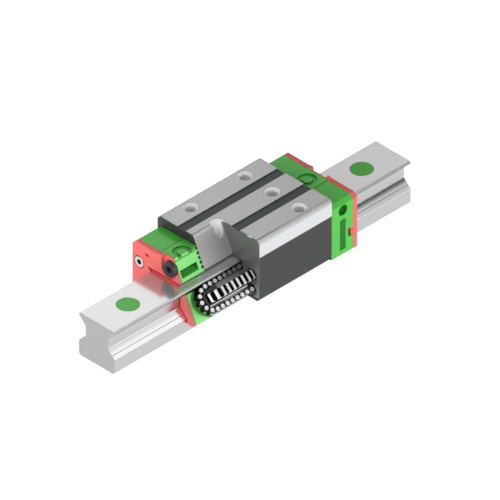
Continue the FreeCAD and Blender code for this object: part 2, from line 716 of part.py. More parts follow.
def make_return_tube(level, side):
    """Plastic tube in a return bore, with the rollers' rectangular channel."""
    tube = new_part(f"return_tube_{level}_{side}")
    start = "-1 * section_x" if side == "right" else f"-1 * {HALF_STEEL}"
    height = UPPER_Z if level == "upper" else LOWER_Z
    drawing = new_sketch(tube, f"{tube.Label}_section", "YZ_Plane", start)
    circle(drawing, sided(side, [(RETURN_W, height)])[0], RETURN_BORE)
    lean = "-1" if level == "upper" else "1"
    corners = []
    for along, over in ((1, 1), (-1, 1), (-1, -1), (1, -1)):
        across = f"{RETURN_W} + ({along} * {TRACK_WIDTH} / 2 - {lean} * {over} * {TRACK_HALF}) / sqrt(2)"
        up = f"{height} + ({lean} * {along} * {TRACK_WIDTH} / 2 + {over} * {TRACK_HALF}) / sqrt(2)"
        corners.append((across, up))
    polygon(drawing, sided(side, corners))
    pad(tube, "tube", drawing, f"{HALF_STEEL} - ({start})")


def make_turn_guide(end, side):
    """Inner core of both turns: the lower circuit's turn passes through the upper circuit's core."""
    guide = new_part(f"{end}_turn_guide_{side}")
    core = f"({TURN_RADIUS} - {TRACK_HALF})"
    pad(guide, "outer", turn_slot(guide, "outer_core", side, end, "upper", core),
        f"{TRACK_WIDTH} - track_clearance", both_ways=True)
    pocket(guide, "passage", turn_slot(guide, "inner_track", side, end, "lower", TURN_REACH),
           f"{TRACK_WIDTH} - track_clearance", both_ways=True)
    pad(guide, "inner", turn_slot(guide, "inner_core", side, end, "lower", core), TRACK_WIDTH, both_ways=True)


def make_strip(label, side, points, start=f"-1 * {HALF_STEEL}"):
    """Strip along the block, drawn as a section."""
    strip = new_part(label)
    drawing = new_sketch(strip, f"{label}_section", "YZ_Plane", start)
    polygon(drawing, sided(side, points))
    pad(strip, "strip", drawing, f"{HALF_STEEL} - ({start})")
    return strip


def make_retainers(side):
    """Strips that guide the rollers' ends beside the raceways."""
    inner = f"({HALF_RAIL} + retainer_gap)"
    wall = f"({CHANNEL_HALF} - retainer_wall_gap)"
    to_ends = "sqrt(2) * (roller_length / 2 + retainer_roller_gap)"
    end_line = f"({CIRCUIT_W} + {to_ends})"
    top = "(rail_height + retainer_rise)"
    upper = [
        (inner, f"{CIRCUIT_Z} + {end_line} - {inner}"),
        (wall, f"{CIRCUIT_Z} + {end_line} - {wall}"),
        (wall, top),
        (inner, top),
    ]
    start = "-1 * section_x" if side == "right" else f"-1 * {HALF_STEEL}"
    make_strip(f"upper_retainer_{side}", side, upper, start)
    lower = [
        (inner, f"{CIRCUIT_Z} - {end_line} + {inner}"),
        (wall, f"{CIRCUIT_Z} - {end_line} + {wall}"),
        (wall, BLOCK_UNDERSIDE),
        (inner, BLOCK_UNDERSIDE),
    ]
    make_strip(f"lower_retainer_{side}", side, lower)
    neck = f"({NECK_HALF} + retainer_gap + neck_fillet * (sqrt(2) - 1))"
    nose = f"({NOSE_HALF} - retainer_wall_gap)"
    near_line = f"({CIRCUIT_W} - {to_ends})"
    shoulder = f"({near_line} - centre_retainer_half - sqrt(2) * retainer_shoulder)"
    centre = [
        (neck, f"{CIRCUIT_Z} + {near_line} - {shoulder}"),
        (shoulder, f"{CIRCUIT_Z} + {near_line} - {shoulder}"),
        (nose, f"{CIRCUIT_Z} + {near_line} - {nose}"),
        (nose, f"{CIRCUIT_Z} - {near_line} + {nose}"),
        (shoulder, f"{CIRCUIT_Z} - {near_line} + {shoulder}"),
        (neck, f"{CIRCUIT_Z} - {near_line} + {shoulder}"),
    ]
    make_strip(f"centre_retainer_{side}", side, centre)


def make_bottom_seal(side):
    """Seal strip under the block's leg, with its lip beside the rail's foot."""
    lip = f"({HALF_RAIL} + retainer_gap)"
    edge = f"({HALF_BLOCK} - bottom_seal_inset)"
    points = [
        (lip, f"{BLOCK_UNDERSIDE} - bottom_seal_thickness"),
        (edge, f"{BLOCK_UNDERSIDE} - bottom_seal_thickness"),
        (edge, BLOCK_UNDERSIDE),
        (CHANNEL_HALF, BLOCK_UNDERSIDE),
        (lip, f"{BLOCK_UNDERSIDE} - bottom_seal_thickness / 2"),
    ]
    strip = make_strip(f"bottom_seal_{side}", side, points)
    if side == "right":
        cut_section(strip, f"-1 * {HALF_STEEL}", f"{HALF_STEEL} - section_x")


def roller(faces):
    """One roller along Z about the origin, as a prism with so many faces round it."""
    radius = size("roller_diameter / 2")
    length = size("roller_length")
    rim = [Vector(radius, 0, -length / 2)]
    turn = FreeCAD.Rotation(Vector(0, 0, 1), 360 / faces)
    while len(rim) < faces:
        rim.append(turn.multVec(rim[-1]))
    return Part.Face(Part.makePolygon(rim + rim[:1])).extrude(Vector(0, 0, length))


def circuit_places(half_run, radius, pitch):
    """Evenly spaced places round two runs and two turns, as (x, distance from the circuit's middle line)."""
    turn = math.pi * radius
    run = 2 * half_run
    total = 2 * (run + turn)
    count = int(total // pitch)
    for number in range(count):
        path = total * number / count
        if path < run:
            yield -half_run + path, radius
        elif path < run + turn:
            angle = (path - run) / radius
            yield half_run + radius * math.sin(angle), radius * math.cos(angle)
        elif path < 2 * run + turn:
            yield half_run - (path - run - turn), -radius
        else:
            angle = (path - 2 * run - turn) / radius
            yield -half_run - radius * math.sin(angle), -radius * math.cos(angle)


def make_rollers(level, side):
    """One circuit's rollers: with more faces where the cut shows them than where the block covers them."""
    hand = SIDES[side]
    rise = 1 if level == "upper" else -1
    setback = "outer_turn_setback" if level == "upper" else "inner_turn_setback"
    half_run = size(f"{HALF_STEEL} + {setback}")
    to_load = Vector(0, -hand, rise).normalize()
    axis = Vector(0, hand, rise).normalize()
    middle = Vector(0, hand * size(CIRCUIT_W), size(CIRCUIT_Z))
    aim = FreeCAD.Rotation(Vector(0, 0, 1), axis)
    shown_roller = roller(int(size("shown_roller_faces")))
    covered_roller = roller(int(size("covered_roller_faces")))
    shapes = []
    for x, reach in circuit_places(half_run, size(TURN_RADIUS), size("roller_diameter + roller_gap")):
        shown = side == "right" and x < -size("section_x") + size("roller_diameter")
        shape = (shown_roller if shown else covered_roller).copy()
        place = middle + to_load * reach + Vector(x, 0, 0)
        shape.Placement = FreeCAD.Placement(place, aim).multiply(shape.Placement)
        shapes.append(shape)
    feature = doc.addObject("Part::Feature", f"rollers_{level}_{side}")
    feature.Label = f"rollers_{level}_{side}"
    feature.Shape = Part.makeCompound(shapes)
    feature.Placement = FreeCAD.Placement()
    parts.append(feature)


make_rail()
make_hole_caps()
make_block()
for end in ENDS:
    make_end_cap(end)
    make_end_seal(end)
    make_plug(end)
    for side in SIDES:
        make_turn_guide(end, side)
make_screws("front_cap_screw", "front", ["left"])
make_screws("rear_cap_screws", "rear", ["left", "right"])
for side in SIDES:
    make_retainers(side)
    make_bottom_seal(side)
    for level in ("upper", "lower"):
        make_return_tube(level, side)
        make_rollers(level, side)

doc.recompute()
for thing in doc.Objects:
    if "Invalid" in thing.State or "Error" in thing.State:
        raise RuntimeError(f"{thing.Name} failed: {thing.State}")
for part in parts:
    if part.Shape.isNull() or not part.Shape.isValid():
        raise RuntimeError(f"{part.Label} has no valid shape")

os.makedirs("parts", exist_ok=True)
for part in parts:
    part.Shape.exportStep(f"parts/{part.Label}.step")
    box = part.Shape.BoundBox
    print(f"{part.Label}: {len(part.Shape.Solids)} solids, {part.Shape.Volume:.1f} mm3, "
          f"x {box.XMin:.2f}..{box.XMax:.2f} y {box.YMin:.2f}..{box.YMax:.2f} "
          f"z {box.ZMin:.2f}..{box.ZMax:.2f}")
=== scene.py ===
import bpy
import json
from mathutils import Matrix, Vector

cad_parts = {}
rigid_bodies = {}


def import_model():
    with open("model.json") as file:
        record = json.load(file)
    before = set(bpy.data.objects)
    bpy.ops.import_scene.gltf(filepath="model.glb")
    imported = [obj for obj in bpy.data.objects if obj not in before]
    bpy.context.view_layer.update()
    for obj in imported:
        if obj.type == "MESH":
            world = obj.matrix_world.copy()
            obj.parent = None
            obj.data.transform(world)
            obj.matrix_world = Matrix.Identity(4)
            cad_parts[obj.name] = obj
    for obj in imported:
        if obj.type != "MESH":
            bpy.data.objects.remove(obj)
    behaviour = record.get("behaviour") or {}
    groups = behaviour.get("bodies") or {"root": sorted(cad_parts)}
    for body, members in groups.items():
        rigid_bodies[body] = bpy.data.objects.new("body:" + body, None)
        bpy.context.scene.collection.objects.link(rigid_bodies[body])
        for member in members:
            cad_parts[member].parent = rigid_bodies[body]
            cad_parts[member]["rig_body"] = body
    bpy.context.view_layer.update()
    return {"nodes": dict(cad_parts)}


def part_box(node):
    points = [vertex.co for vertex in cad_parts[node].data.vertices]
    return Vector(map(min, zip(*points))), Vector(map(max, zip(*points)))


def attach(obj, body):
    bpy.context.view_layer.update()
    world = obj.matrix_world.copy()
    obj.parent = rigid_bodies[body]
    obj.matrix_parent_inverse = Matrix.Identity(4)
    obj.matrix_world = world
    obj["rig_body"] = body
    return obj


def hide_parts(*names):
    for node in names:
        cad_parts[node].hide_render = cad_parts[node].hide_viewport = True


bl_info = {
    "name": "Roller linear guide",
    "version": (1, 0, 0),
    "blender": (4, 5, 0),
    "location": "3D View > Sidebar > Linear guide",
    "description": "Dresses a cut-open roller guide: rail, carriage, end caps, seals and roller circuits",
    "category": "Object",
}

import json
import math

import bmesh
import bpy
from mathutils import Matrix, Vector

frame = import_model()
MM = 0.001

ENDS = ("front", "rear")
SIDES = ("left", "right")
LEVELS = ("upper", "lower")


def node_low(name):
    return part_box(name)[0]


def node_high(name):
    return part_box(name)[1]


# Outward normal of the inclined display cut
CUT_NORMAL = Vector((0.0, -1.0, 0.479)).normalized()
# Distance of the inclined cut from the origin, in millimetres
CUT_OFFSET = 16.5
# A normal whose dot product with a plane's normal is more than this belongs to that plane
IN_PLANE = 0.995
# A face looks along an axis when that share of its normal is more than this
FACING = 0.9
# Facets that meet at an angle between these belong to one curved surface
SMOOTH_LEAST = math.radians(0.5)
SMOOTH_MOST = math.radians(32)
# A face whose area divided by its longest edge is more than this, in millimetres, is flat and no facet
FACET_WIDTH = 2.5
# Distance within which two corners of a mesh are one, in millimetres
ONE_CORNER = 0.0005
# Facets that meet at less than this are one flat face
FLAT_LEAST = math.radians(0.4)
# Dot products of two normals that are the same, and of two close enough to shade as one
UNBENT = 0.9999
BLENDED = 0.5
# Settings of nodes that mix colours, and of those that step softly
COLOUR_MIX = {"data_type": "RGBA"}
EASED = {"interpolation_type": "SMOOTHSTEP"}
# Directions that the camera sees mirrored in flat tops, and in faces that lean halfway to the cut-open side
TOP_MIRROR = Vector((0.573, 0.577, 0.583))
SIDE_MIRROR = Vector((0.573, -0.583, 0.576))

# Sizes of the guide's finish, in millimetres
SIZES = {
    "steel_edge": ("Width of the broken edges on ground steel", 0.25),
    "plastic_edge": ("Width of the rounded edges on moulded plastic", 0.3),
    "small_edge": ("Width of the broken edges on the rail, screws, tubes and strips", 0.12),
    "roller_diameter": ("Outside diameter of a roller", 2.8),
    "roller_length": ("Length of a roller over its ends", 4.6),
    "roller_chamfer": ("Chamfer at a roller's ends", 0.34),
    "roller_pitch": ("Least distance from one roller to the next", 3.1),
    "row_spread": ("Sideways distance from a loaded row to its return row", 8.3),
    "outer_setback": ("Centre of the outer turn beyond the block's end", 5.5),
    "inner_setback": ("Centre of the inner turn beyond the block's end", 0.95),
}

# Camera's angles, and its lengths in metres
ANGLES = {
    "azimuth": ("Camera's turn round the guide", math.radians(-44.85)),
    "elevation": ("Camera's height above the horizon", math.radians(35.65)),
}
LENGTHS = {
    "distance": ("Camera's distance from the aimed point", 0.9),
    "view_width": ("Width of the view", 0.2275),
    "aim_height": ("Height of the aimed point", 0.020),
    "aim_right": ("Aim moved to the right in the view", 0.00237),
    "aim_down": ("Aim moved down in the view", 0.00316),
}

# Brightness of each light
LIGHTS = {
    "zenith": ("Straight up, where the studio is dark", 0.05),
    "horizon": ("Studio's walls", 1.0),
    "back_box": ("Softbox that flat tops reflect", 2.0),
    "side_box": ("Softbox facing the cut-open side", 1.3),
    "end_box": ("Softbox facing the front seal", 2.1),
    "front_box": ("Small softbox beside the camera", 1.5),
    "top_flag": ("Net that the rear rail's top reflects", 1.2),
    "side_flag": ("Net that the rear raceway reflects", 0.55),
    "floor_glow": ("Lit floor", 0.95),
}

# What each colour is for, and its sRGB hex
COLOURS = {
    "rail_steel": ("Rail's top", "#D6D6D6"),
    "race_steel": ("Raceways and datum", "#F1F1F1"),
    "band_steel": ("Block's ground datum", "#E2E3E4"),
    "edge_steel": ("Rail flange's edges", "#8E8E8E"),
    # Painted shade: grey of the rail flange's narrow sides
    "corner_steel": ("Block's rounded edges", "#D2D2D2"),
    "side_steel": ("Rail's sides", "#C6C6C6"),
    "end_steel": ("Rail's sawn ends", "#B4B4B4"),
    "block_steel": ("Block's ground lands", "#929292"),
    # Pale white, a painted highlight where the countersinks take it
    "bore_steel": ("Tapped holes", "#FAFAFA"),
    "oxide_steel": ("Block's unground faces", "#3E3F3F"),
    "cut_steel": ("Block's cut faces", "#868686"),
    "slope_steel": ("Block's sloping cut", "#B0B0B0"),
    "roller_steel": ("Rollers' barrels", "#F4F4F4"),
    # Painted shade: dark grey for the barrels of the circuits that run in the shade
    "roller_oiled": ("Oil-wet barrels", "#4C4C4C"),
    "roller_ends": ("Rollers' ends", "#F4F4F4"),
    "green_nylon": ("End caps and hole caps", "#58D04C"),
    # Painted shade: dark green for the end caps' channels, recesses and sunk panels
    "green_dark": ("Greased or grained nylon", "#237A22"),
    "green_cut": ("End cap's cut face", "#96FF8A"),
    "red_seal": ("End seals", "#FF7674"),
    # Painted shade: deeper red for the wiping lips and the seals' small recesses
    "red_lip": ("Wiping lips", "#E23A44"),
    "red_cut": ("End seal's cut face", "#D97C76"),
    "plug_acetal": ("Grease plugs", "#3E3D41"),
    "black_acetal": ("Turn guides, return tubes and retainers", "#161617"),
    "zinc_plating": ("Cap screws", "#D8D8D4"),
    # Painted shade: the dark of the raceways' band under the neck and of the roller ends near the block
    "oil_film": ("Dark oil on raceways and roller ends", "#272727"),
    "floor": ("Floor", "#767676"),
}


def properties(kind, table, **more):
    """Properties for a table of names, each with a description and a default."""
    return {name: kind(name=name.replace("_", " ").capitalize(), description=about, default=default, **more)
            for name, (about, default) in table.items()}


class GuideSizes(bpy.types.PropertyGroup):
    """Sizes of the guide's finish, in millimetres."""

    __annotations__ = properties(bpy.props.FloatProperty, SIZES, min=0.01)


class GuideColours(bpy.types.PropertyGroup):
    """Base colours of the guide's materials, as sRGB hex."""

    __annotations__ = properties(bpy.props.StringProperty, COLOURS)


class GuideStage(bpy.types.PropertyGroup):
    """Camera and light."""

    __annotations__ = {
        **properties(bpy.props.FloatProperty, ANGLES, subtype="ANGLE"),
        **properties(bpy.props.FloatProperty, LENGTHS, unit="LENGTH"),
        **properties(bpy.props.FloatProperty, LIGHTS, min=0.0),
    }


def linear(text):
    """sRGB hex to linear red, green, blue and alpha."""
    values = [int(text[i:i + 2], 16) / 255 for i in (1, 3, 5)]
    return [v / 12.92 if v <= 0.04045 else ((v + 0.055) / 1.055) ** 2.4 for v in values] + [1.0]


def add(tree, kind, settings=None, **inputs):
    """Adds a node; an input is a value, or a socket that it is linked from."""
    node = tree.nodes.new(kind)
    for name, value in (settings or {}).items():
        setattr(node, name, value)
    for name, value in inputs.items():
        key = int(name[1:]) if name[0] == "_" else name.replace("_", " ")
        socket = node.inputs[key]
        if isinstance(value, bpy.types.NodeSocket):
            tree.links.new(value, socket)
        else:
            socket.default_value = value
    return node


def new_material(name):
    material = bpy.data.materials.new(name)
    material.use_nodes = True
    material.node_tree.nodes.clear()
    return material, material.node_tree


def finish_material(tree, shader):
    output = tree.nodes.new("ShaderNodeOutputMaterial")
    tree.links.new(shader.outputs[0], output.inputs["Surface"])


def object_place(tree, stretch):
    """Object coordinates with each axis stretched, so that a pattern can run along one of them."""
    place = add(tree, "ShaderNodeTexCoord")
    return add(tree, "ShaderNodeMapping", Vector=place.outputs["Object"], Scale=stretch).outputs[0]


def shades(colour, mottle):
    """A colour's plain, darker and lighter linear values, where mottle is the share that it varies by."""
    base = linear(colour)
    dark = [c * (1 - mottle) for c in base[:3]] + [1.0]
    light = [min(1.0, c * (1 + mottle)) for c in base[:3]] + [1.0]
    return base, dark, light


def steel(name, colour, roughness, grind_mm, along, depth, spread, mottle=0.04, metallic=1.0, groove_mm=None,
          shade_mm=None, gap_shade=None):
    """Steel with fine lines left by the wheel or cutter along one axis.

    The numbers are the roughness, the spacing of the lines, their axis and depth, and how far the roughness
    spreads. Real lines lie a few hundredths of a millimetre apart, and are drawn as coarse as they need to
    show. The steel can have a thin dark line of painted shade at one height, standing in for a groove, and
    painted shade of one colour where the mesh's gap_shade attribute is high. A dark painted shade thickens
    from its first to its second Z. From its first to its second X it goes from one share to another.
    """
    line_stretch = 0.01
    line_height = 0.01
    cloud_mm = 11.11
    groove_half = 0.1
    groove_shade = 0.25
    shade_start, shade_full = 0.4, 0.62
    material, tree = new_material(name)
    across = 1 / (grind_mm * MM)
    stretch = [across * (line_stretch if axis == along else 1.0) for axis in "XYZ"]
    lines = add(tree, "ShaderNodeTexNoise", Vector=object_place(tree, stretch), Scale=1.0, Detail=3.0,
                Roughness=0.6).outputs[0]
    cloud_scale = 1 / (cloud_mm * MM)
    cloud = add(tree, "ShaderNodeTexNoise", Vector=object_place(tree, [cloud_scale] * 3), Scale=1.0,
                Detail=4.0)
    rough = add(tree, "ShaderNodeMapRange", Value=lines, To_Min=roughness - spread,
                To_Max=roughness + spread)
    base, dark, light = shades(colour, mottle)
    paint = add(tree, "ShaderNodeMix", COLOUR_MIX, _0=cloud.outputs[0], _6=dark, _7=light).outputs[2]
    if groove_mm or shade_mm:
        place = add(tree, "ShaderNodeSeparateXYZ", Vector=object_place(tree, (1.0, 1.0, 1.0))).outputs
    # Painted shade of a groove: a thin dark line at one height
    if groove_mm:
        apart = add(tree, "ShaderNodeMath", {"operation": "SUBTRACT"}, _0=place["Z"], _1=groove_mm * MM)
        apart = add(tree, "ShaderNodeMath", {"operation": "ABSOLUTE"}, _0=apart.outputs[0])
        inside = add(tree, "ShaderNodeMath", {"operation": "LESS_THAN"}, _0=apart.outputs[0],
                     _1=groove_half * MM)
        shade = [c * groove_shade for c in base[:3]] + [1.0]
        paint = add(tree, "ShaderNodeMix", COLOUR_MIX, _0=inside.outputs[0], _6=paint, _7=shade).outputs[2]
    # Painted shade that thickens from the first to the second Z, and changes its share along X
    if shade_mm:
        low, high, start, stop, least, most = shade_mm
        shade_colour = linear(bpy.context.scene.guide_colours.oil_film)
        up = add(tree, "ShaderNodeMapRange", EASED, Value=place["Z"], From_Min=low * MM, From_Max=high * MM)
        back = add(tree, "ShaderNodeMapRange", EASED, Value=place["X"], From_Min=start * MM,
                   From_Max=stop * MM, To_Min=least, To_Max=most)
        shade_amount = add(tree, "ShaderNodeMath", {"operation": "MULTIPLY"}, _0=up.outputs[0], _1=back.outputs[0])
        paint = add(tree, "ShaderNodeMix", COLOUR_MIX, _0=shade_amount.outputs[0], _6=paint, _7=shade_colour).outputs[2]
    # Painted shade of the given colour where the mesh's gap_shade attribute is high
    if gap_shade:
        gap_share = add(tree, "ShaderNodeAttribute", {"attribute_name": "gap_shade"}).outputs["Fac"]
        gap_shading = add(tree, "ShaderNodeMapRange", EASED, Value=gap_share, From_Min=shade_start, From_Max=shade_full)
        paint = add(tree, "ShaderNodeMix", COLOUR_MIX, _0=gap_shading.outputs[0], _6=paint,
                    _7=linear(gap_shade)).outputs[2]
    bump = add(tree, "ShaderNodeBump", Strength=depth, Distance=line_height * MM, Height=lines)
    shader = add(tree, "ShaderNodeBsdfPrincipled", Base_Color=paint, Roughness=rough.outputs[0],
                 Metallic=metallic, Normal=bump.outputs[0])
    finish_material(tree, shader)
    return material


def moulded(name, colour, roughness, grain_mm, depth, mottle=0.05, gloss=0.5):
    """Moulded plastic with the spark-eroded grain of its tool, of a given spacing and depth.

    Real grain is a tenth of a millimetre or finer, and is drawn as coarse as it needs to show.
    """
    grain_height = 0.03
    flow_mm = 9.09
    spread = 0.06
    material, tree = new_material(name)
    grain_scale, flow_scale = 1 / (grain_mm * MM), 1 / (flow_mm * MM)
    grain = add(tree, "ShaderNodeTexNoise", Vector=object_place(tree, [grain_scale] * 3), Scale=1.0,
                Detail=2.0).outputs[0]
    flow = add(tree, "ShaderNodeTexNoise", Vector=object_place(tree, [flow_scale] * 3), Scale=1.0,
               Detail=3.0)
    base, dark, light = shades(colour, mottle)
    paint = add(tree, "ShaderNodeMix", COLOUR_MIX, _0=flow.outputs[0], _6=dark, _7=light).outputs[2]
    rough = add(tree, "ShaderNodeMapRange", Value=grain, To_Min=roughness - spread,
                To_Max=roughness + spread)
    bump = add(tree, "ShaderNodeBump", Strength=depth, Distance=grain_height * MM, Height=grain)
    shader = add(tree, "ShaderNodeBsdfPrincipled", Base_Color=paint, Roughness=rough.outputs[0], IOR=1.5,
                 Specular_IOR_Level=gloss, Normal=bump.outputs[0])
    finish_material(tree, shader)
    return material


def material(name):
    """The named finish, made once."""
    if name in bpy.data.materials:
        return bpy.data.materials[name]
    colours = bpy.context.scene.guide_colours
    # Surface-ground rail top: glossy enough to mirror the seal softly, with a pale veil over it
    if name == "ground_rail_steel":
        return steel(name, colours.rail_steel, 0.14, 0.25, "X", 0.02, 0.03, mottle=0.02, metallic=0.5)
    # Superfinished raceway: near mirror, with a thin dark line of painted shade for the relief groove
    # between its two ground widths, and a dark painted shade under the neck that thickens towards the rear
    if name == "raceway_steel":
        height = node_high("rail").z / MM
        groove, shade_low, shade_high = 0.415 * height, 0.43 * height, 0.505 * height
        return steel(name, colours.race_steel, 0.16, 0.25, "X", 0.02, 0.03, mottle=0.02, groove_mm=groove,
                     shade_mm=(shade_low, shade_high, 0.0, 60.0, 0.25, 0.8))
    # Blunted flange edge: narrow, greyer than the faces beside it as painted shade under the rail's top edge
    if name == "flange_painted_shade_steel":
        return steel(name, colours.edge_steel, 0.3, 0.3, "X", 0.05, 0.05, mottle=0.03)
    # Rounded by a form wheel: soft, blends the lands into the ground band
    if name == "rounded_corner_steel":
        return steel(name, colours.corner_steel, 0.5, 0.3, "X", 0.05, 0.05, mottle=0.02, metallic=0.15)
    # Surface-ground bearing steel: bright, with lines along the guide
    if name == "ground_bearing_steel":
        return steel(name, colours.band_steel, 0.12, 0.25, "X", 0.02, 0.03, mottle=0.02)
    # Satin-ground side faces: greyer and softer than the raceways
    if name == "satin_side_steel":
        return steel(name, colours.side_steel, 0.25, 0.3, "X", 0.05, 0.05, mottle=0.03)
    # Sawn and deburred ends: the saw's lines run across
    if name == "sawn_end_steel":
        return steel(name, colours.end_steel, 0.3, 0.3, "Y", 0.06, 0.05, mottle=0.03)
    # Ground case-hardened steel: satin lands, greyer than the rail
    if name == "ground_block_steel":
        return steel(name, colours.block_steel, 0.3, 0.3, "X", 0.08, 0.05)
    # Countersunk and tapped bores: soft, pale white as a painted highlight that looks lit deep down
    if name == "bore_painted_highlight_steel":
        return steel(name, colours.bore_steel, 0.5, 0.3, "Z", 0.1, 0.05, metallic=0.0)
    # Thread flanks down in the shade: dark, with the thread's fine rings
    if name == "threaded_bore_steel":
        return steel(name, colours.bore_steel, 0.4, 0.6, "X", 0.3, 0.05, mottle=0.1, metallic=0.6)
    # Hot-oxide on unground steel: dark, half dull, cloudy; the same dark is painted shade inside the screws'
    # sockets
    if name == "dark_oxide_and_painted_shade_steel":
        return steel(name, colours.oxide_steel, 0.5, 0.5, "X", 0.15, 0.06, mottle=0.06, metallic=0.3)
    # Milled and deburred cut face: mid grey with faint cutter lines
    if name == "cut_face_steel":
        return steel(name, colours.cut_steel, 0.38, 0.4, "Z", 0.1, 0.05, metallic=0.7)
    # The same cut on the slope, swept by the cutter's face: duller and cloudy
    if name == "cut_slope_steel":
        return steel(name, colours.slope_steel, 0.45, 0.6, "Z", 0.1, 0.06, mottle=0.12, metallic=0.5)
    # Superfinished barrels: bright, with black painted shade where neighbours almost touch
    if name == "superfinished_roller_steel":
        return steel(name, colours.roller_steel, 0.3, 0.2, "X", 0.02, 0.03, mottle=0.02,
                     gap_shade=colours.black_acetal)
    # The same barrels painted dark grey as painted shade, where they run in the shade
    if name == "painted_shade_roller_steel":
        return steel(name, colours.roller_oiled, 0.2, 0.2, "X", 0.02, 0.03, mottle=0.02)
    # Roller ends, face-ground: pale and softer, under a dark painted shade that thickens in the upper row
    # towards the block
    if name == "ground_roller_end_steel":
        return steel(name, colours.roller_ends, 0.3, 0.2, "X", 0.03, 0.03, mottle=0.02, metallic=0.4,
                     shade_mm=(12.0, 17.0, -42.0, -20.0, 0.0, 0.8))
    # Zinc-nickel on screws: soft bright grey
    if name == "zinc_plated_steel":
        return steel(name, colours.zinc_plating, 0.25, 0.2, "X", 0.1, 0.05)
    # Glass-filled nylon, moulded: even green, with a smooth skin that mirrors the block faintly
    if name == "green_moulded_nylon":
        return moulded(name, colours.green_nylon, 0.2, 0.35, 0.05, gloss=0.25)
    # The same nylon on a coarse spark-eroded floor: duller, and darker with painted shade
    if name == "green_grain_and_painted_shade_nylon":
        return moulded(name, colours.green_dark, 0.6, 0.5, 1.0, mottle=0.5)
    # Painted shade on the same nylon inside its channels and recesses: dark and glossy
    if name == "green_painted_shade_nylon":
        return moulded(name, colours.green_dark, 0.15, 0.5, 0.1, mottle=0.1)
    # The same nylon where the display cut opened it: paler, dull
    if name == "green_cut_nylon":
        return moulded(name, colours.green_cut, 0.45, 0.3, 0.1, mottle=0.03)
    # Nitrile lip bonded to a plate: soft red, slightly glossy
    if name == "red_moulded_nitrile":
        return moulded(name, colours.red_seal, 0.35, 0.3, 0.02, mottle=0.03, gloss=0.12)
    # Wiping lips and the seals' small recesses: deeper red as painted shade, glossy
    if name == "red_painted_shade_nitrile":
        return moulded(name, colours.red_lip, 0.3, 0.3, 0.04, gloss=0.3)
    # The same seal where the display cut opened it: paler
    if name == "red_cut_nitrile":
        return moulded(name, colours.red_cut, 0.5, 0.3, 0.1, mottle=0.03)
    # Acetal turned on a lathe: charcoal, with faint ridges that catch the light
    if name == "turned_charcoal_acetal":
        return moulded(name, colours.plug_acetal, 0.3, 0.6, 0.6, mottle=0.3)
    # Acetal: black, smooth, waxy highlights; the same black is painted shade in the end caps' turn slots
    if name == "black_acetal_and_painted_shade":
        return moulded(name, colours.black_acetal, 0.25, 0.4, 0.1, mottle=0.1)
    raise ValueError(f"no finish is named {name}")


def link(name, mesh):
    """Puts a mesh in the scene as a piece at the origin."""
    piece = bpy.data.objects.new(name, mesh)
    bpy.context.scene.collection.objects.link(piece)
    return piece


def merged_copy(node, name):
    """Copy of a solid's mesh with its loose triangles joined into flat faces."""
    mesh = frame["nodes"][node].data.copy()
    mesh.name = name
    mesh.materials.clear()
    net = bmesh.new()
    net.from_mesh(mesh)
    bmesh.ops.remove_doubles(net, verts=net.verts, dist=ONE_CORNER * MM)
    bmesh.ops.dissolve_limit(net, angle_limit=FLAT_LEAST, verts=net.verts, edges=net.edges)
    net.to_mesh(mesh)
    net.free()
    return link(name, mesh)


def settle(piece):
    """Turns a piece's modifiers into its mesh."""
    graph = bpy.context.evaluated_depsgraph_get()
    mesh = bpy.data.meshes.new_from_object(piece.evaluated_get(graph))
    old = piece.data
    piece.modifiers.clear()
    piece.data = mesh
    bpy.data.meshes.remove(old)
    mesh.name = piece.name


def mark_planes(mesh):
    """Stores on each flat face its normal, and on each facet of a curved surface a zero."""
    net = bmesh.new()
    net.from_mesh(mesh)
    stored = net.faces.layers.float_vector.new("plane")
    for face in net.faces:
        bends = [edge.calc_face_angle(0.0) for edge in face.edges]
        breadth = face.calc_area() / max(edge.calc_length() for edge in face.edges)
        curved = breadth < FACET_WIDTH * MM and any(SMOOTH_LEAST < bend < SMOOTH_MOST for bend in bends)
        face[stored] = Vector() if curved else face.normal
    net.to_mesh(mesh)
    net.free()


def level_planes(mesh):
    """Keeps the shading of flat faces flat, and blends it into their rounded edges."""
    stored = mesh.attributes["plane"].data
    planes = [Vector(stored[face.index].vector) for face in mesh.polygons]
    flat = [plane.dot(face.normal) > UNBENT for plane, face in zip(planes, mesh.polygons)]
    touching = {}
    for face in mesh.polygons:
        if flat[face.index]:
            for vertex in face.vertices:
                touching.setdefault(vertex, []).append(face.normal.copy())
    normals = [corner.vector.copy() for corner in mesh.corner_normals]
    for face in mesh.polygons:
        for loop, vertex in zip(face.loop_indices, face.vertices):
            if flat[face.index]:
                normals[loop] = face.normal
            elif touching.get(vertex):
                near = max(touching[vertex], key=face.normal.dot)
                if near.dot(face.normal) > BLENDED:
                    normals[loop] = near
    mesh.attributes.remove(mesh.attributes["plane"])
    mesh.normals_split_custom_set(normals)


def break_edges(piece, width, segments=2):
    """Rounds the piece's sharp edges by a real width, with flat faces kept flat."""
    mesh = piece.data
    mark_planes(mesh)
    for face in mesh.polygons:
        face.use_smooth = True
    bevel = piece.modifiers.new("Edge break", "BEVEL")
    bevel.width = width * MM
    bevel.segments = segments
    bevel.limit_method = "ANGLE"
    bevel.angle_limit = SMOOTH_MOST
    bevel.use_clamp_overlap = False
    bevel.miter_outer = "MITER_ARC"
    settle(piece)
    level_planes(piece.data)


def give_finishes(piece, names, choose):
    """Sets each face's material from its normal and centre in millimetres."""
    for name in names:
        piece.data.materials.append(material(name))
    for face in piece.data.polygons:
        face.material_index = names.index(choose(face.normal, face.center / MM))


def dress(node, finishes, edge, choose=None):
    """Replaces a solid by a copy with broken edges and finished faces."""
    piece = merged_copy(node, f"{node}_dressed")
    give_finishes(piece, finishes, choose or (lambda normal, centre: finishes[0]))
    break_edges(piece, edge)
    body = frame["nodes"][node]["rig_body"]
    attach(piece, body)
    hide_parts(node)
    return piece


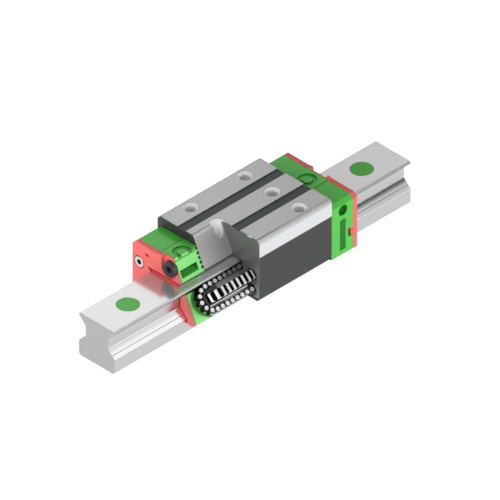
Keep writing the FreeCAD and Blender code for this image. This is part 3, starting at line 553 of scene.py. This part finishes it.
def circuit_places(sizes):
    """Each circuit's middle, its lean and where its turns are centred along the guide, in millimetres."""
    places = {}
    block_half = node_high("carriage_block").x / MM
    for side in SIDES:
        for level in LEVELS:
            low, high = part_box(f"rollers_{level}_{side}")
            setback = sizes.outer_setback if level == "upper" else sizes.inner_setback
            lean = 1 if (side == "right") == (level == "upper") else -1
            places[side, level] = ((low + high) / 2 / MM, lean, block_half + setback)
    return places


def in_turn_slot(sizes, places, centre):
    """Whether a face belongs to the slots in an end cap that the rollers turn round in."""
    radius = sizes.row_spread / math.sqrt(2)
    deep = sizes.roller_length / 2 + 0.7
    thick = sizes.roller_diameter / 2 + 0.8
    for middle, lean, turn in places.values():
        away = centre - middle
        across = (away.y + lean * away.z) / math.sqrt(2)
        out = (away.z - lean * away.y) / math.sqrt(2)
        ring = math.hypot(max(abs(centre.x) - turn, 0.0), across)
        if abs(out) < deep and abs(ring - radius) < thick:
            return True
    return False


def carried(name, net, finish, edge):
    """Makes a closed mesh a piece of the carriage, in one finish and with broken edges."""
    bmesh.ops.recalc_face_normals(net, faces=net.faces)
    mesh = bpy.data.meshes.new(name)
    net.to_mesh(mesh)
    net.free()
    mesh.materials.append(material(finish))
    piece = link(name, mesh)
    break_edges(piece, edge)
    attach(piece, "carriage")
    return piece


def strip(name, profile, half_span, finish, edge):
    """A bar of one outline, drawn out to both sides of it."""
    net = bmesh.new()
    ends = [[net.verts.new((point + half_span * way) * MM) for point in profile] for way in (-1, 1)]
    net.faces.new(ends[0])
    net.faces.new(list(reversed(ends[1])))
    for i in range(len(profile)):
        j = (i + 1) % len(profile)
        net.faces.new((ends[0][j], ends[0][i], ends[1][i], ends[1][j]))
    return carried(name, net, finish, edge)


def arc(name, middle, lean, turn, radii, depths, sweep, finish, edge):
    """A wall round part of a circuit's front turn.

    It lies between two radii and two depths along the rollers' axis, and sweeps between two angles.
    """
    inner, outer = radii
    near, far = depths
    start, stop = sweep
    steps = 28
    net = bmesh.new()
    rings = []
    for i in range(steps + 1):
        angle = math.radians(start + (stop - start) * i / steps)
        ring = []
        for reach, out in ((inner, near), (outer, near), (outer, far), (inner, far)):
            across = reach * math.sin(angle)
            along = -turn - reach * math.cos(angle)
            place = Vector((along, middle.y + (across - lean * out) / math.sqrt(2),
                            middle.z + (lean * across + out) / math.sqrt(2)))
            ring.append(net.verts.new(place * MM))
        rings.append(ring)
    for first, second in zip(rings, rings[1:]):
        for j in range(4):
            k = (j + 1) % 4
            net.faces.new((first[j], first[k], second[k], second[j]))
    net.faces.new(rings[0])
    net.faces.new(list(reversed(rings[-1])))
    return carried(name, net, finish, edge)


class GUIDE_OT_rail(bpy.types.Operator):
    """Make the ground rail"""

    bl_idname = "guide.rail"
    bl_label = "Rail"

    def execute(self, context):
        sizes = context.scene.guide_sizes
        high = node_high("rail").z / MM
        # Where the top's broken edges and the flange's narrow sides begin
        chamfer_low = high - 1.0
        flange_low = high - 2.0

        def choose(normal, centre):
            if abs(normal.x) > FACING:
                return "sawn_end_steel"
            if abs(normal.y) > FACING:
                # The flange's narrow sides take grey painted shade
                return "flange_painted_shade_steel" if centre.z > flange_low else "satin_side_steel"
            if normal.z > FACING:
                return "ground_rail_steel"
            return "satin_side_steel" if normal.z > 0 and centre.z > chamfer_low else "raceway_steel"

        finishes = ["ground_rail_steel", "raceway_steel", "satin_side_steel", "sawn_end_steel",
                    "flange_painted_shade_steel"]
        dress("rail", finishes, sizes.small_edge, choose)
        return {"FINISHED"}


class GUIDE_OT_hole_caps(bpy.types.Operator):
    """Make the discs that close the rail's holes"""

    bl_idname = "guide.hole_caps"
    bl_label = "Hole caps"

    def execute(self, context):
        dress("rail_hole_caps", ["green_moulded_nylon"], context.scene.guide_sizes.small_edge)
        return {"FINISHED"}


class GUIDE_OT_block(bpy.types.Operator):
    """Make the steel block with its ground lands, dark flanks and cut faces"""

    bl_idname = "guide.block"
    bl_label = "Carriage block"

    def execute(self, context):
        high = node_high("carriage_block") / MM
        low = node_low("carriage_block") / MM
        # Ground lands
        top_low, top_rise = high.z - 0.1, 0.7
        # Sloping cut and the edge it ends in at the top
        slope_end = -14.0
        slope_edge_end, slope_edge_low, slope_edge_lean, slope_edge_turn = -20.0, high.z - 1.5, -0.03, 0.1
        # Ground band on the sides
        band_low, band_in, band_flat, band_turn = 30.8, high.y - 3.0, 0.985, 0.5
        # Tapped holes and their countersinks
        bore_low, bore_pitch, bore_reach, countersink_rise = 28.0, 17.5, 3.8, 0.3
        bores = [(x, y) for x in (-bore_pitch, bore_pitch) for y in (-bore_pitch, 0.0, bore_pitch)]
        # Cut across the block
        cut_start = low.x + 1.0

        def choose(normal, centre):
            beside = min(math.hypot(centre.x - x, centre.y - y) for x, y in bores)
            if normal.z > top_rise and centre.z > top_low:
                return "ground_block_steel"
            if normal.dot(CUT_NORMAL) > IN_PLANE and centre.x < slope_end:
                return "cut_slope_steel"
            on_slope_edge = centre.x < slope_edge_end and centre.z > slope_edge_low
            if on_slope_edge and normal.y < slope_edge_lean and abs(normal.x) < slope_edge_turn:
                return "rounded_corner_steel"
            if centre.z > bore_low and abs(centre.y) < band_in and beside < bore_reach:
                # Countersinks, and the bore in the cut, take a pale painted highlight
                painted_bright = normal.z > countersink_rise or centre.x < 0 and abs(centre.y) < bore_reach
                return "bore_painted_highlight_steel" if painted_bright else "threaded_bore_steel"
            if abs(centre.y) > band_in and centre.z > band_low and abs(normal.x) < band_turn:
                return "ground_bearing_steel" if abs(normal.y) > band_flat else "rounded_corner_steel"
            if normal.x < -FACING and cut_start < centre.x < 0:
                return "cut_face_steel"
            return "dark_oxide_and_painted_shade_steel"

        finishes = ["ground_block_steel", "ground_bearing_steel", "dark_oxide_and_painted_shade_steel", "cut_face_steel",
                    "cut_slope_steel", "bore_painted_highlight_steel", "threaded_bore_steel", "rounded_corner_steel"]
        dress("carriage_block", finishes, context.scene.guide_sizes.steel_edge, choose)
        return {"FINISHED"}


class GUIDE_OT_end_caps(bpy.types.Operator):
    """Make the green end caps"""

    bl_idname = "guide.end_caps"
    bl_label = "End caps"

    def execute(self, context):
        wide = node_high("rear_end_cap").y / MM
        top = node_high("rear_end_cap").z / MM
        # Cut face, and the gallery behind it
        cut_skin = 0.05
        gallery_depth, gallery_side, gallery_low = 3.2, -7.0, 24.0
        # Round marks sunk in the top
        mark_low, mark_high, mark_side = top - 1.8, top - 0.03, wide - 3.5
        # Panel sunk in each side, and the port above it
        side_low, side_high = wide - 2.1, wide - 0.3
        panel_top = top - 10.5
        port_low = panel_top + 2.0
        # Shares of a normal below which a face is no level one, and below which it stands upright
        level, upright = 0.999, 0.3
        sizes = context.scene.guide_sizes
        places = circuit_places(sizes)

        def choose(normal, centre):
            depth = CUT_OFFSET - centre.dot(CUT_NORMAL)
            if depth < cut_skin and normal.dot(CUT_NORMAL) > IN_PLANE:
                return "green_cut_nylon"
            # The turn slots in the green caps take black as painted shade
            if in_turn_slot(sizes, places, centre):
                return "black_acetal_and_painted_shade"
            # The gallery, the marks' walls and the port's walls take dark green painted shade
            in_gallery = centre.x < 0 and depth < gallery_depth and centre.y > gallery_side
            if in_gallery and centre.z > gallery_low and abs(normal.z) < level:
                return "green_painted_shade_nylon"
            if mark_low < centre.z < mark_high and abs(normal.z) < upright and abs(centre.y) < mark_side:
                return "green_painted_shade_nylon"
            if side_low < abs(centre.y) < side_high:
                # The sunk panel's floor: real grain, and darker with painted shade
                if abs(normal.y) > FACING and centre.z < panel_top:
                    return "green_grain_and_painted_shade_nylon"
                if centre.z > port_low and abs(normal.z) < level and abs(normal.y * normal.z) < upright:
                    return "green_painted_shade_nylon"
            return "green_moulded_nylon"

        finishes = ["green_moulded_nylon", "green_grain_and_painted_shade_nylon", "green_cut_nylon", "green_painted_shade_nylon",
                    "black_acetal_and_painted_shade"]
        for end in ENDS:
            dress(f"{end}_end_cap", finishes, sizes.plastic_edge, choose)
        return {"FINISHED"}


class GUIDE_OT_end_seals(bpy.types.Operator):
    """Make the red end seals and bottom seals"""

    bl_idname = "guide.end_seals"
    bl_label = "Seals"

    def execute(self, context):
        sizes = context.scene.guide_sizes
        front = node_high("rear_end_seal") / MM
        # Small recess in each seal's face, in deeper red as painted shade
        mark_low, mark_high = front.x - 0.6, front.x - 0.05
        mark_level, mark_half, mark_side = front.z - 4.6, 0.7, front.y - 1.0

        def choose(normal, centre):
            if normal.dot(CUT_NORMAL) > IN_PLANE:
                return "red_cut_nitrile"
            mark = mark_low < abs(centre.x) < mark_high and abs(centre.z - mark_level) < mark_half
            return "red_painted_shade_nitrile" if mark and abs(centre.y) < mark_side else "red_moulded_nitrile"

        finishes = ["red_moulded_nitrile", "red_cut_nitrile", "red_painted_shade_nitrile"]
        for end in ENDS:
            dress(f"{end}_end_seal", finishes, sizes.small_edge, choose)
        for side in SIDES:
            dress(f"bottom_seal_{side}", ["black_acetal_and_painted_shade"], sizes.small_edge)
        # Wiping lips lie on the rail's top, the front one up to the display cut, in deeper red as painted
        # shade
        rail_top = node_high("rail").z / MM
        reach = node_high("rail").y / MM - 1.3
        lip_top = rail_top + 1.5
        cut_edge = (CUT_NORMAL.z * lip_top - CUT_OFFSET) / -CUT_NORMAL.y
        outline = [(0.0, 1.35), (0.5, 1.2), (0.85, 0.35), (0.9, 0.08), (0.6, 0.05), (0.0, 0.05)]
        for end, way, right in (("front", -1, cut_edge), ("rear", 1, -reach)):
            face = node_high("rear_end_seal").x / MM * way
            middle = (reach + right) / 2
            profile = [Vector((face + way * out, middle, rail_top + up)) for out, up in outline]
            span = Vector((0.0, reach - middle, 0.0))
            piece = strip(f"{end}_wiping_lip", profile, span, "red_painted_shade_nitrile", edge=0.08)
        return {"FINISHED"}


class GUIDE_OT_fasteners(bpy.types.Operator):
    """Make the grease plugs and cap screws"""

    bl_idname = "guide.fasteners"
    bl_label = "Plugs and screws"

    def execute(self, context):
        edge = context.scene.guide_sizes.small_edge
        for end in ENDS:
            dress(f"{end}_grease_plug", ["turned_charcoal_acetal"], edge)
        head = (node_high("front_cap_screw") + node_low("front_cap_screw")) / 2 / MM
        face = node_high("rear_cap_screws").x / MM
        socket_radius, socket_floor, socket_rim = 1.8, face - 2.5, face - 0.1

        def choose(normal, centre):
            from_axis = math.hypot(abs(centre.y) - abs(head.y), centre.z - head.z)
            # Faces inside the socket take the dark steel as painted shade
            inside = from_axis < socket_radius and socket_floor < abs(centre.x) < socket_rim
            return "dark_oxide_and_painted_shade_steel" if inside else "zinc_plated_steel"

        for node in ("front_cap_screw", "rear_cap_screws"):
            dress(node, ["zinc_plated_steel", "dark_oxide_and_painted_shade_steel"], edge, choose)
        return {"FINISHED"}


class GUIDE_OT_inner_parts(bpy.types.Operator):
    """Make the turn guides, return tubes and retainers"""

    bl_idname = "guide.inner_parts"
    bl_label = "Guides, tubes and retainers"

    def execute(self, context):
        edge = context.scene.guide_sizes.small_edge
        for side in SIDES:
            for end in ENDS:
                dress(f"{end}_turn_guide_{side}", ["black_acetal_and_painted_shade"], edge)
            for level in LEVELS:
                dress(f"return_tube_{level}_{side}", ["black_acetal_and_painted_shade"], edge)
            dress(f"upper_retainer_{side}", ["ground_block_steel"], edge)
            dress(f"lower_retainer_{side}", ["ground_bearing_steel"], edge)
            dress(f"centre_retainer_{side}", ["black_acetal_and_painted_shade"], edge)
        # Thin bright strip between the two return rows, along the turn guide's open side: a painted
        # highlight of the guide's edge
        guide_low, guide_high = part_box("front_turn_guide_right")
        middle = (guide_low.z + guide_high.z) / 2 / MM
        rim = guide_low.y / MM
        outline = [(0.4, 0.0), (-0.05, 0.45), (-0.22, 0.28), (0.06, 0.0), (-0.22, -0.28), (-0.05, -0.45)]
        guide_inset, retainer_gap = 0.6, 3.5
        start = guide_low.x / MM + guide_inset
        stop = node_low("upper_retainer_right").x / MM - retainer_gap
        profile = [Vector(((start + stop) / 2, rim - out, middle + up)) for out, up in outline]
        span = Vector(((stop - start) / 2, 0.0, 0.0))
        piece = strip("return_row_highlight_strip", profile, span, "satin_side_steel", edge=0.05)
        # Low dark wall round the outside of the open turn: painted shade of the gap beside the rollers
        sizes = context.scene.guide_sizes
        middle, lean, turn = circuit_places(sizes)["right", "upper"]
        play, thickness, depth = 0.2, 0.7, 1.8
        inner = sizes.row_spread / math.sqrt(2) + sizes.roller_diameter / 2 + play
        half = sizes.roller_length / 2
        piece = arc("front_turn_painted_shade_wall", middle, lean, turn, (inner, inner + thickness), (-half, depth - half),
                    (55.0, -70.0), "green_painted_shade_nylon", edge=0.1)
        return {"FINISHED"}


def circuit_tree():
    """Rollers spaced evenly round a track of two runs and two half-round turns."""
    turn_points = 24
    roller_sides = 22
    # A turn's radius is kept just under half the track's height, so that the two never meet
    radius_share = 0.9999
    weld_mm = 0.01
    tree = bpy.data.node_groups.new("Roller circuit", "GeometryNodeTree")
    sockets = tree.interface
    sockets.new_socket("Geometry", in_out="OUTPUT", socket_type="NodeSocketGeometry")
    inputs = {
        "Run": ("NodeSocketFloat", 0.08),
        "Turn radius": ("NodeSocketFloat", 0.006),
        "Count": ("NodeSocketInt", 50),
        "Roller radius": ("NodeSocketFloat", 0.0015),
        "Roller length": ("NodeSocketFloat", 0.0046),
        "Chamfer": ("NodeSocketFloat", 0.0003),
        "Tilt": ("NodeSocketVector", None),
        "Centre": ("NodeSocketVector", None),
        "Axis": ("NodeSocketVector", None),
        "Barrel": ("NodeSocketMaterial", None),
        "Ends": ("NodeSocketMaterial", None),
    }
    for name, (kind, default) in inputs.items():
        socket = sockets.new_socket(name, in_out="INPUT", socket_type=kind)
        if default is not None:
            socket.default_value = default
    given = add(tree, "NodeGroupInput").outputs
    known = {name: given[name] for name in inputs}
    sums = (
        ("Track height", "MULTIPLY", "Turn radius", 2.0),
        ("Track width", "ADD", "Run", "Track height"),
        ("Fillet radius", "MULTIPLY", "Turn radius", radius_share),
        ("Both chamfers", "MULTIPLY", "Chamfer", 2.0),
        ("Barrel length", "SUBTRACT", "Roller length", "Both chamfers"),
        ("Half barrel", "MULTIPLY", "Barrel length", 0.5),
        ("Tip radius", "SUBTRACT", "Roller radius", "Chamfer"),
    )
    for name, operation, first, second in sums:
        known[name] = add(tree, "ShaderNodeMath", {"operation": operation}, _0=known[first],
                          _1=known.get(second, second)).outputs[0]

    oblong = add(tree, "GeometryNodeCurvePrimitiveQuadrilateral", Width=known["Track width"],
                 Height=known["Track height"])
    track = add(tree, "GeometryNodeFilletCurve", _0=oblong.outputs[0])
    track.mode = "POLY"
    track.inputs["Count"].default_value = turn_points
    tree.links.new(known["Fillet radius"], track.inputs["Radius"])
    points = add(tree, "GeometryNodePoints", Count=given["Count"])
    index = add(tree, "GeometryNodeInputIndex").outputs[0]
    share = add(tree, "ShaderNodeMath", {"operation": "DIVIDE"}, _0=index, _1=given["Count"]).outputs[0]
    spot = add(tree, "GeometryNodeSampleCurve", {"mode": "FACTOR", "use_all_curves": True},
               Curves=track.outputs[0], Factor=share)
    placed = add(tree, "GeometryNodeSetPosition", Geometry=points.outputs[0],
                 Position=spot.outputs["Position"])
    headed = add(tree, "GeometryNodeStoreNamedAttribute", {"data_type": "FLOAT_VECTOR", "domain": "POINT"},
                 Geometry=placed.outputs[0], Name="heading", Value=spot.outputs["Tangent"])
    parts = add(tree, "GeometryNodeJoinGeometry")
    barrel = add(tree, "GeometryNodeMeshCylinder", {"fill_type": "NONE"}, Vertices=roller_sides,
                 Radius=given["Roller radius"], Depth=known["Barrel length"])
    tree.links.new(barrel.outputs[0], parts.inputs[0])
    up = add(tree, "ShaderNodeCombineXYZ", Z=known["Half barrel"]).outputs[0]
    rim = add(tree, "GeometryNodeMeshCone", {"fill_type": "NGON"}, Vertices=roller_sides,
              Radius_Top=known["Tip radius"], Radius_Bottom=given["Roller radius"], Depth=given["Chamfer"])
    top = add(tree, "GeometryNodeTransform", Geometry=rim.outputs[0], Translation=up)
    turned = add(tree, "GeometryNodeTransform", Geometry=top.outputs[0], Rotation=(math.pi, 0.0, 0.0))
    tree.links.new(top.outputs[0], parts.inputs[0])
    tree.links.new(turned.outputs[0], parts.inputs[0])
    roller = add(tree, "GeometryNodeMergeByDistance", Geometry=parts.outputs[0], Distance=weld_mm * MM)
    copies = add(tree, "GeometryNodeInstanceOnPoints", Points=headed.outputs[0], Instance=roller.outputs[0])
    solid = add(tree, "GeometryNodeRealizeInstances", Geometry=copies.outputs[0])
    # How far each normal points along the track, stored for painted shade where neighbouring rollers almost
    # touch
    heading = add(tree, "GeometryNodeInputNamedAttribute", {"data_type": "FLOAT_VECTOR"}, Name="heading")
    normal = add(tree, "GeometryNodeInputNormal").outputs[0]
    ahead = add(tree, "ShaderNodeVectorMath", {"operation": "DOT_PRODUCT"}, _0=heading.outputs[0], _1=normal)
    gap_shade = add(tree, "ShaderNodeMath", {"operation": "ABSOLUTE"}, _0=ahead.outputs["Value"]).outputs[0]
    gap_shaded = add(tree, "GeometryNodeStoreNamedAttribute", {"data_type": "FLOAT", "domain": "POINT"},
                Geometry=solid.outputs[0], Name="gap_shade", Value=gap_shade)
    turned_track = add(tree, "GeometryNodeTransform", Geometry=gap_shaded.outputs[0], Rotation=given["Tilt"],
                       Translation=given["Centre"])
    barrels = add(tree, "GeometryNodeSetMaterial", Geometry=turned_track.outputs[0],
                  Material=given["Barrel"])
    facing = add(tree, "ShaderNodeVectorMath", {"operation": "DOT_PRODUCT"}, _0=normal, _1=given["Axis"])
    facing = add(tree, "ShaderNodeMath", {"operation": "ABSOLUTE"}, _0=facing.outputs["Value"])
    at_end = add(tree, "ShaderNodeMath", {"operation": "GREATER_THAN"}, _0=facing.outputs[0],
                 _1=FACING).outputs[0]
    finish = add(tree, "GeometryNodeSetMaterial", Geometry=barrels.outputs[0], Selection=at_end,
                 Material=given["Ends"])
    add(tree, "NodeGroupOutput", Geometry=finish.outputs[0])
    return tree


class GUIDE_OT_rollers(bpy.types.Operator):
    """Make the four roller circuits"""

    bl_idname = "guide.rollers"
    bl_label = "Rollers"

    def execute(self, context):
        sizes = context.scene.guide_sizes
        tree = circuit_tree()
        places = circuit_places(sizes)
        radius = sizes.row_spread / math.sqrt(2)
        # The upper circuits' barrels take the dark grey of painted shade
        barrels = {"upper": "painted_shade_roller_steel", "lower": "superfinished_roller_steel"}
        crease = math.radians(30)
        for side in SIDES:
            for level in LEVELS:
                node = f"rollers_{level}_{side}"
                middle, lean, turn = places[side, level]
                run = 2 * turn
                total = 2 * run + 2 * math.pi * radius
                values = {
                    "Run": run * MM,
                    "Turn radius": radius * MM,
                    "Count": int(total // sizes.roller_pitch),
                    "Roller radius": sizes.roller_diameter / 2 * MM,
                    "Roller length": sizes.roller_length * MM,
                    "Chamfer": sizes.roller_chamfer * MM,
                    "Tilt": (lean * math.pi / 4, 0.0, 0.0),
                    "Centre": (0.0, middle.y * MM, middle.z * MM),
                    "Axis": (0.0, -lean / math.sqrt(2), 1 / math.sqrt(2)),
                    "Barrel": material(barrels[level]),
                    "Ends": material("ground_roller_end_steel"),
                }
                piece = link(f"{node}_dressed", bpy.data.meshes.new(node))
                nodes = piece.modifiers.new("Circuit", "NODES")
                nodes.node_group = tree
                for item in tree.interface.items_tree:
                    if item.item_type == "SOCKET" and item.in_out == "INPUT":
                        nodes[item.identifier] = values[item.name]
                settle(piece)
                piece.data.shade_smooth()
                piece.data.set_sharp_from_angle(angle=crease)
                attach(piece, "carriage")
                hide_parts(node)
        return {"FINISHED"}


class GUIDE_OT_stage(bpy.types.Operator):
    """Make the floor, the light and the camera"""

    bl_idname = "guide.stage"
    bl_label = "Stage"

    def execute(self, context):
        scene = context.scene
        stage = scene.guide_stage
        scene.view_settings.view_transform = "Standard"
        turn = stage.azimuth
        lift = stage.elevation
        back = Vector((math.sin(turn) * math.cos(lift), -math.cos(turn) * math.cos(lift), math.sin(lift)))
        right = Vector((math.cos(turn), math.sin(turn), 0.0))
        up = back.cross(right)
        aim = Vector((0.0, 0.0, stage.aim_height)) + right * stage.aim_right - up * stage.aim_down
        lens = bpy.data.cameras.new("guide_camera")
        lens.type = "ORTHO"
        lens.ortho_scale = stage.view_width
        camera = bpy.data.objects.new("guide_camera", lens)
        facing = Matrix((right, up, back)).transposed().to_4x4()
        camera.matrix_world = Matrix.Translation(aim + back * stage.distance) @ facing
        scene.collection.objects.link(camera)
        scene.camera = camera

        world = bpy.data.worlds.new("pale_studio")
        scene.world = world
        world.use_nodes = True
        tree = world.node_tree
        tree.nodes.clear()
        way = add(tree, "ShaderNodeTexCoord").outputs["Generated"]
        height = add(tree, "ShaderNodeSeparateXYZ", Vector=way).outputs["Z"]
        dark_above = 0.5
        light = add(tree, "ShaderNodeMapRange", Value=height, From_Max=dark_above, To_Min=stage.horizon,
                    To_Max=stage.zenith).outputs[0]
        # Each softbox: direction, the cones in degrees where it is full and where it ends, brightness
        boxes = (
            (TOP_MIRROR, 16, 28, stage.back_box),
            (Vector((0.4, -0.85, 0.33)), 22, 44, stage.side_box),
            (Vector((-0.9, 0.1, 0.15)), 20, 45, stage.end_box),
            (back, 10, 26, stage.front_box),
        )
        for axis, inner, outer, power in boxes:
            full, none = (math.cos(math.radians(angle)) for angle in (inner, outer))
            aimed = add(tree, "ShaderNodeVectorMath", {"operation": "DOT_PRODUCT"}, _0=way,
                        _1=axis.normalized()).outputs["Value"]
            box = add(tree, "ShaderNodeMapRange", EASED, Value=aimed, From_Min=none, From_Max=full,
                      To_Max=power)
            light = add(tree, "ShaderNodeMath", {"operation": "ADD"}, _0=light, _1=box.outputs[0]).outputs[0]
        glow = add(tree, "ShaderNodeBackground", Strength=light)
        output = add(tree, "ShaderNodeOutputWorld")
        tree.links.new(glow.outputs[0], output.inputs["Surface"])

        # Each flag: its direction and distance from the rail's rear, size, brightness, and whether it is
        # there for reflections alone or for soft light and shadow alone
        rail_rear = Vector((0.08, 0.0, 0.02))
        flags = (
            ("top_net_flag", TOP_MIRROR, 0.25, (0.08, 0.12), stage.top_flag, True),
            ("side_net_flag", SIDE_MIRROR, 0.25, (0.06, 0.1), stage.side_flag, True),
            ("rear_black_flag", TOP_MIRROR, 0.12, (0.08, 0.1), 0.0, False),
        )
        for name, way, distance, (wide, tall), brightness, mirrored in flags:
            level = (Vector((1.0, 0.0, 0.0)) - way * way.x).normalized()
            turn = Matrix((level * wide, way.cross(level) * tall, way)).transposed().to_4x4()
            place = Matrix.Translation(rail_rear + way * distance) @ turn
            net = bmesh.new()
            bmesh.ops.create_grid(net, x_segments=1, y_segments=1, size=0.5, matrix=place)
            flag_mesh = bpy.data.meshes.new(name)
            net.to_mesh(flag_mesh)
            net.free()
            flag = link(name, flag_mesh)
            flag.visible_camera = False
            flag.visible_glossy = mirrored
            flag.visible_diffuse = not mirrored
            flag.visible_shadow = not mirrored
            paint, tree = new_material(name)
            finish_material(tree, add(tree, "ShaderNodeEmission", Strength=brightness))
            flag_mesh.materials.append(paint)

        floor_reach, floor_drop = 3.0, 0.0002
        floor_mesh = bpy.data.meshes.new("floor")
        net = bmesh.new()
        bmesh.ops.create_grid(net, x_segments=2, y_segments=2, size=floor_reach)
        bmesh.ops.translate(net, vec=(0.0, 0.0, -floor_drop), verts=net.verts)
        net.to_mesh(floor_mesh)
        net.free()
        floor = link("floor", floor_mesh)
        paint, tree = new_material("pale_floor")
        shader = add(tree, "ShaderNodeBsdfPrincipled", Base_Color=linear(scene.guide_colours.floor),
                     Roughness=0.8, Specular_IOR_Level=0.0, Emission_Color=linear("#FFFFFF"),
                     Emission_Strength=stage.floor_glow)
        finish_material(tree, shader)
        floor_mesh.materials.append(paint)
        return {"FINISHED"}


OPERATORS = [
    GUIDE_OT_stage,
    GUIDE_OT_rail,
    GUIDE_OT_hole_caps,
    GUIDE_OT_block,
    GUIDE_OT_end_caps,
    GUIDE_OT_end_seals,
    GUIDE_OT_fasteners,
    GUIDE_OT_inner_parts,
    GUIDE_OT_rollers,
]


class GUIDE_PT_panel(bpy.types.Panel):
    """Lists the guide's pieces"""

    bl_idname = "GUIDE_PT_panel"
    bl_label = "Linear guide"
    bl_space_type = "VIEW_3D"
    bl_region_type = "UI"
    bl_category = "Linear guide"

    def draw(self, context):
        for group in (context.scene.guide_sizes, context.scene.guide_colours, context.scene.guide_stage):
            for name in group.__annotations__:
                self.layout.prop(group, name)
        for operator in OPERATORS:
            self.layout.operator(operator.bl_idname)


GROUPS = {"guide_sizes": GuideSizes, "guide_colours": GuideColours, "guide_stage": GuideStage}


def register():
    for name, group in GROUPS.items():
        bpy.utils.register_class(group)
        setattr(bpy.types.Scene, name, bpy.props.PointerProperty(type=group))
    for kind in OPERATORS + [GUIDE_PT_panel]:
        bpy.utils.register_class(kind)


def unregister():
    for kind in reversed(OPERATORS + [GUIDE_PT_panel]):
        bpy.utils.unregister_class(kind)
    for name, group in GROUPS.items():
        delattr(bpy.types.Scene, name)
        bpy.utils.unregister_class(group)


def main():
    register()
    bpy.ops.guide.stage()
    bpy.ops.guide.rail()
    bpy.ops.guide.hole_caps()
    bpy.ops.guide.block()
    bpy.ops.guide.end_caps()
    bpy.ops.guide.end_seals()
    bpy.ops.guide.fasteners()
    bpy.ops.guide.inner_parts()
    bpy.ops.guide.rollers()


if __name__ == "__main__":
    main()
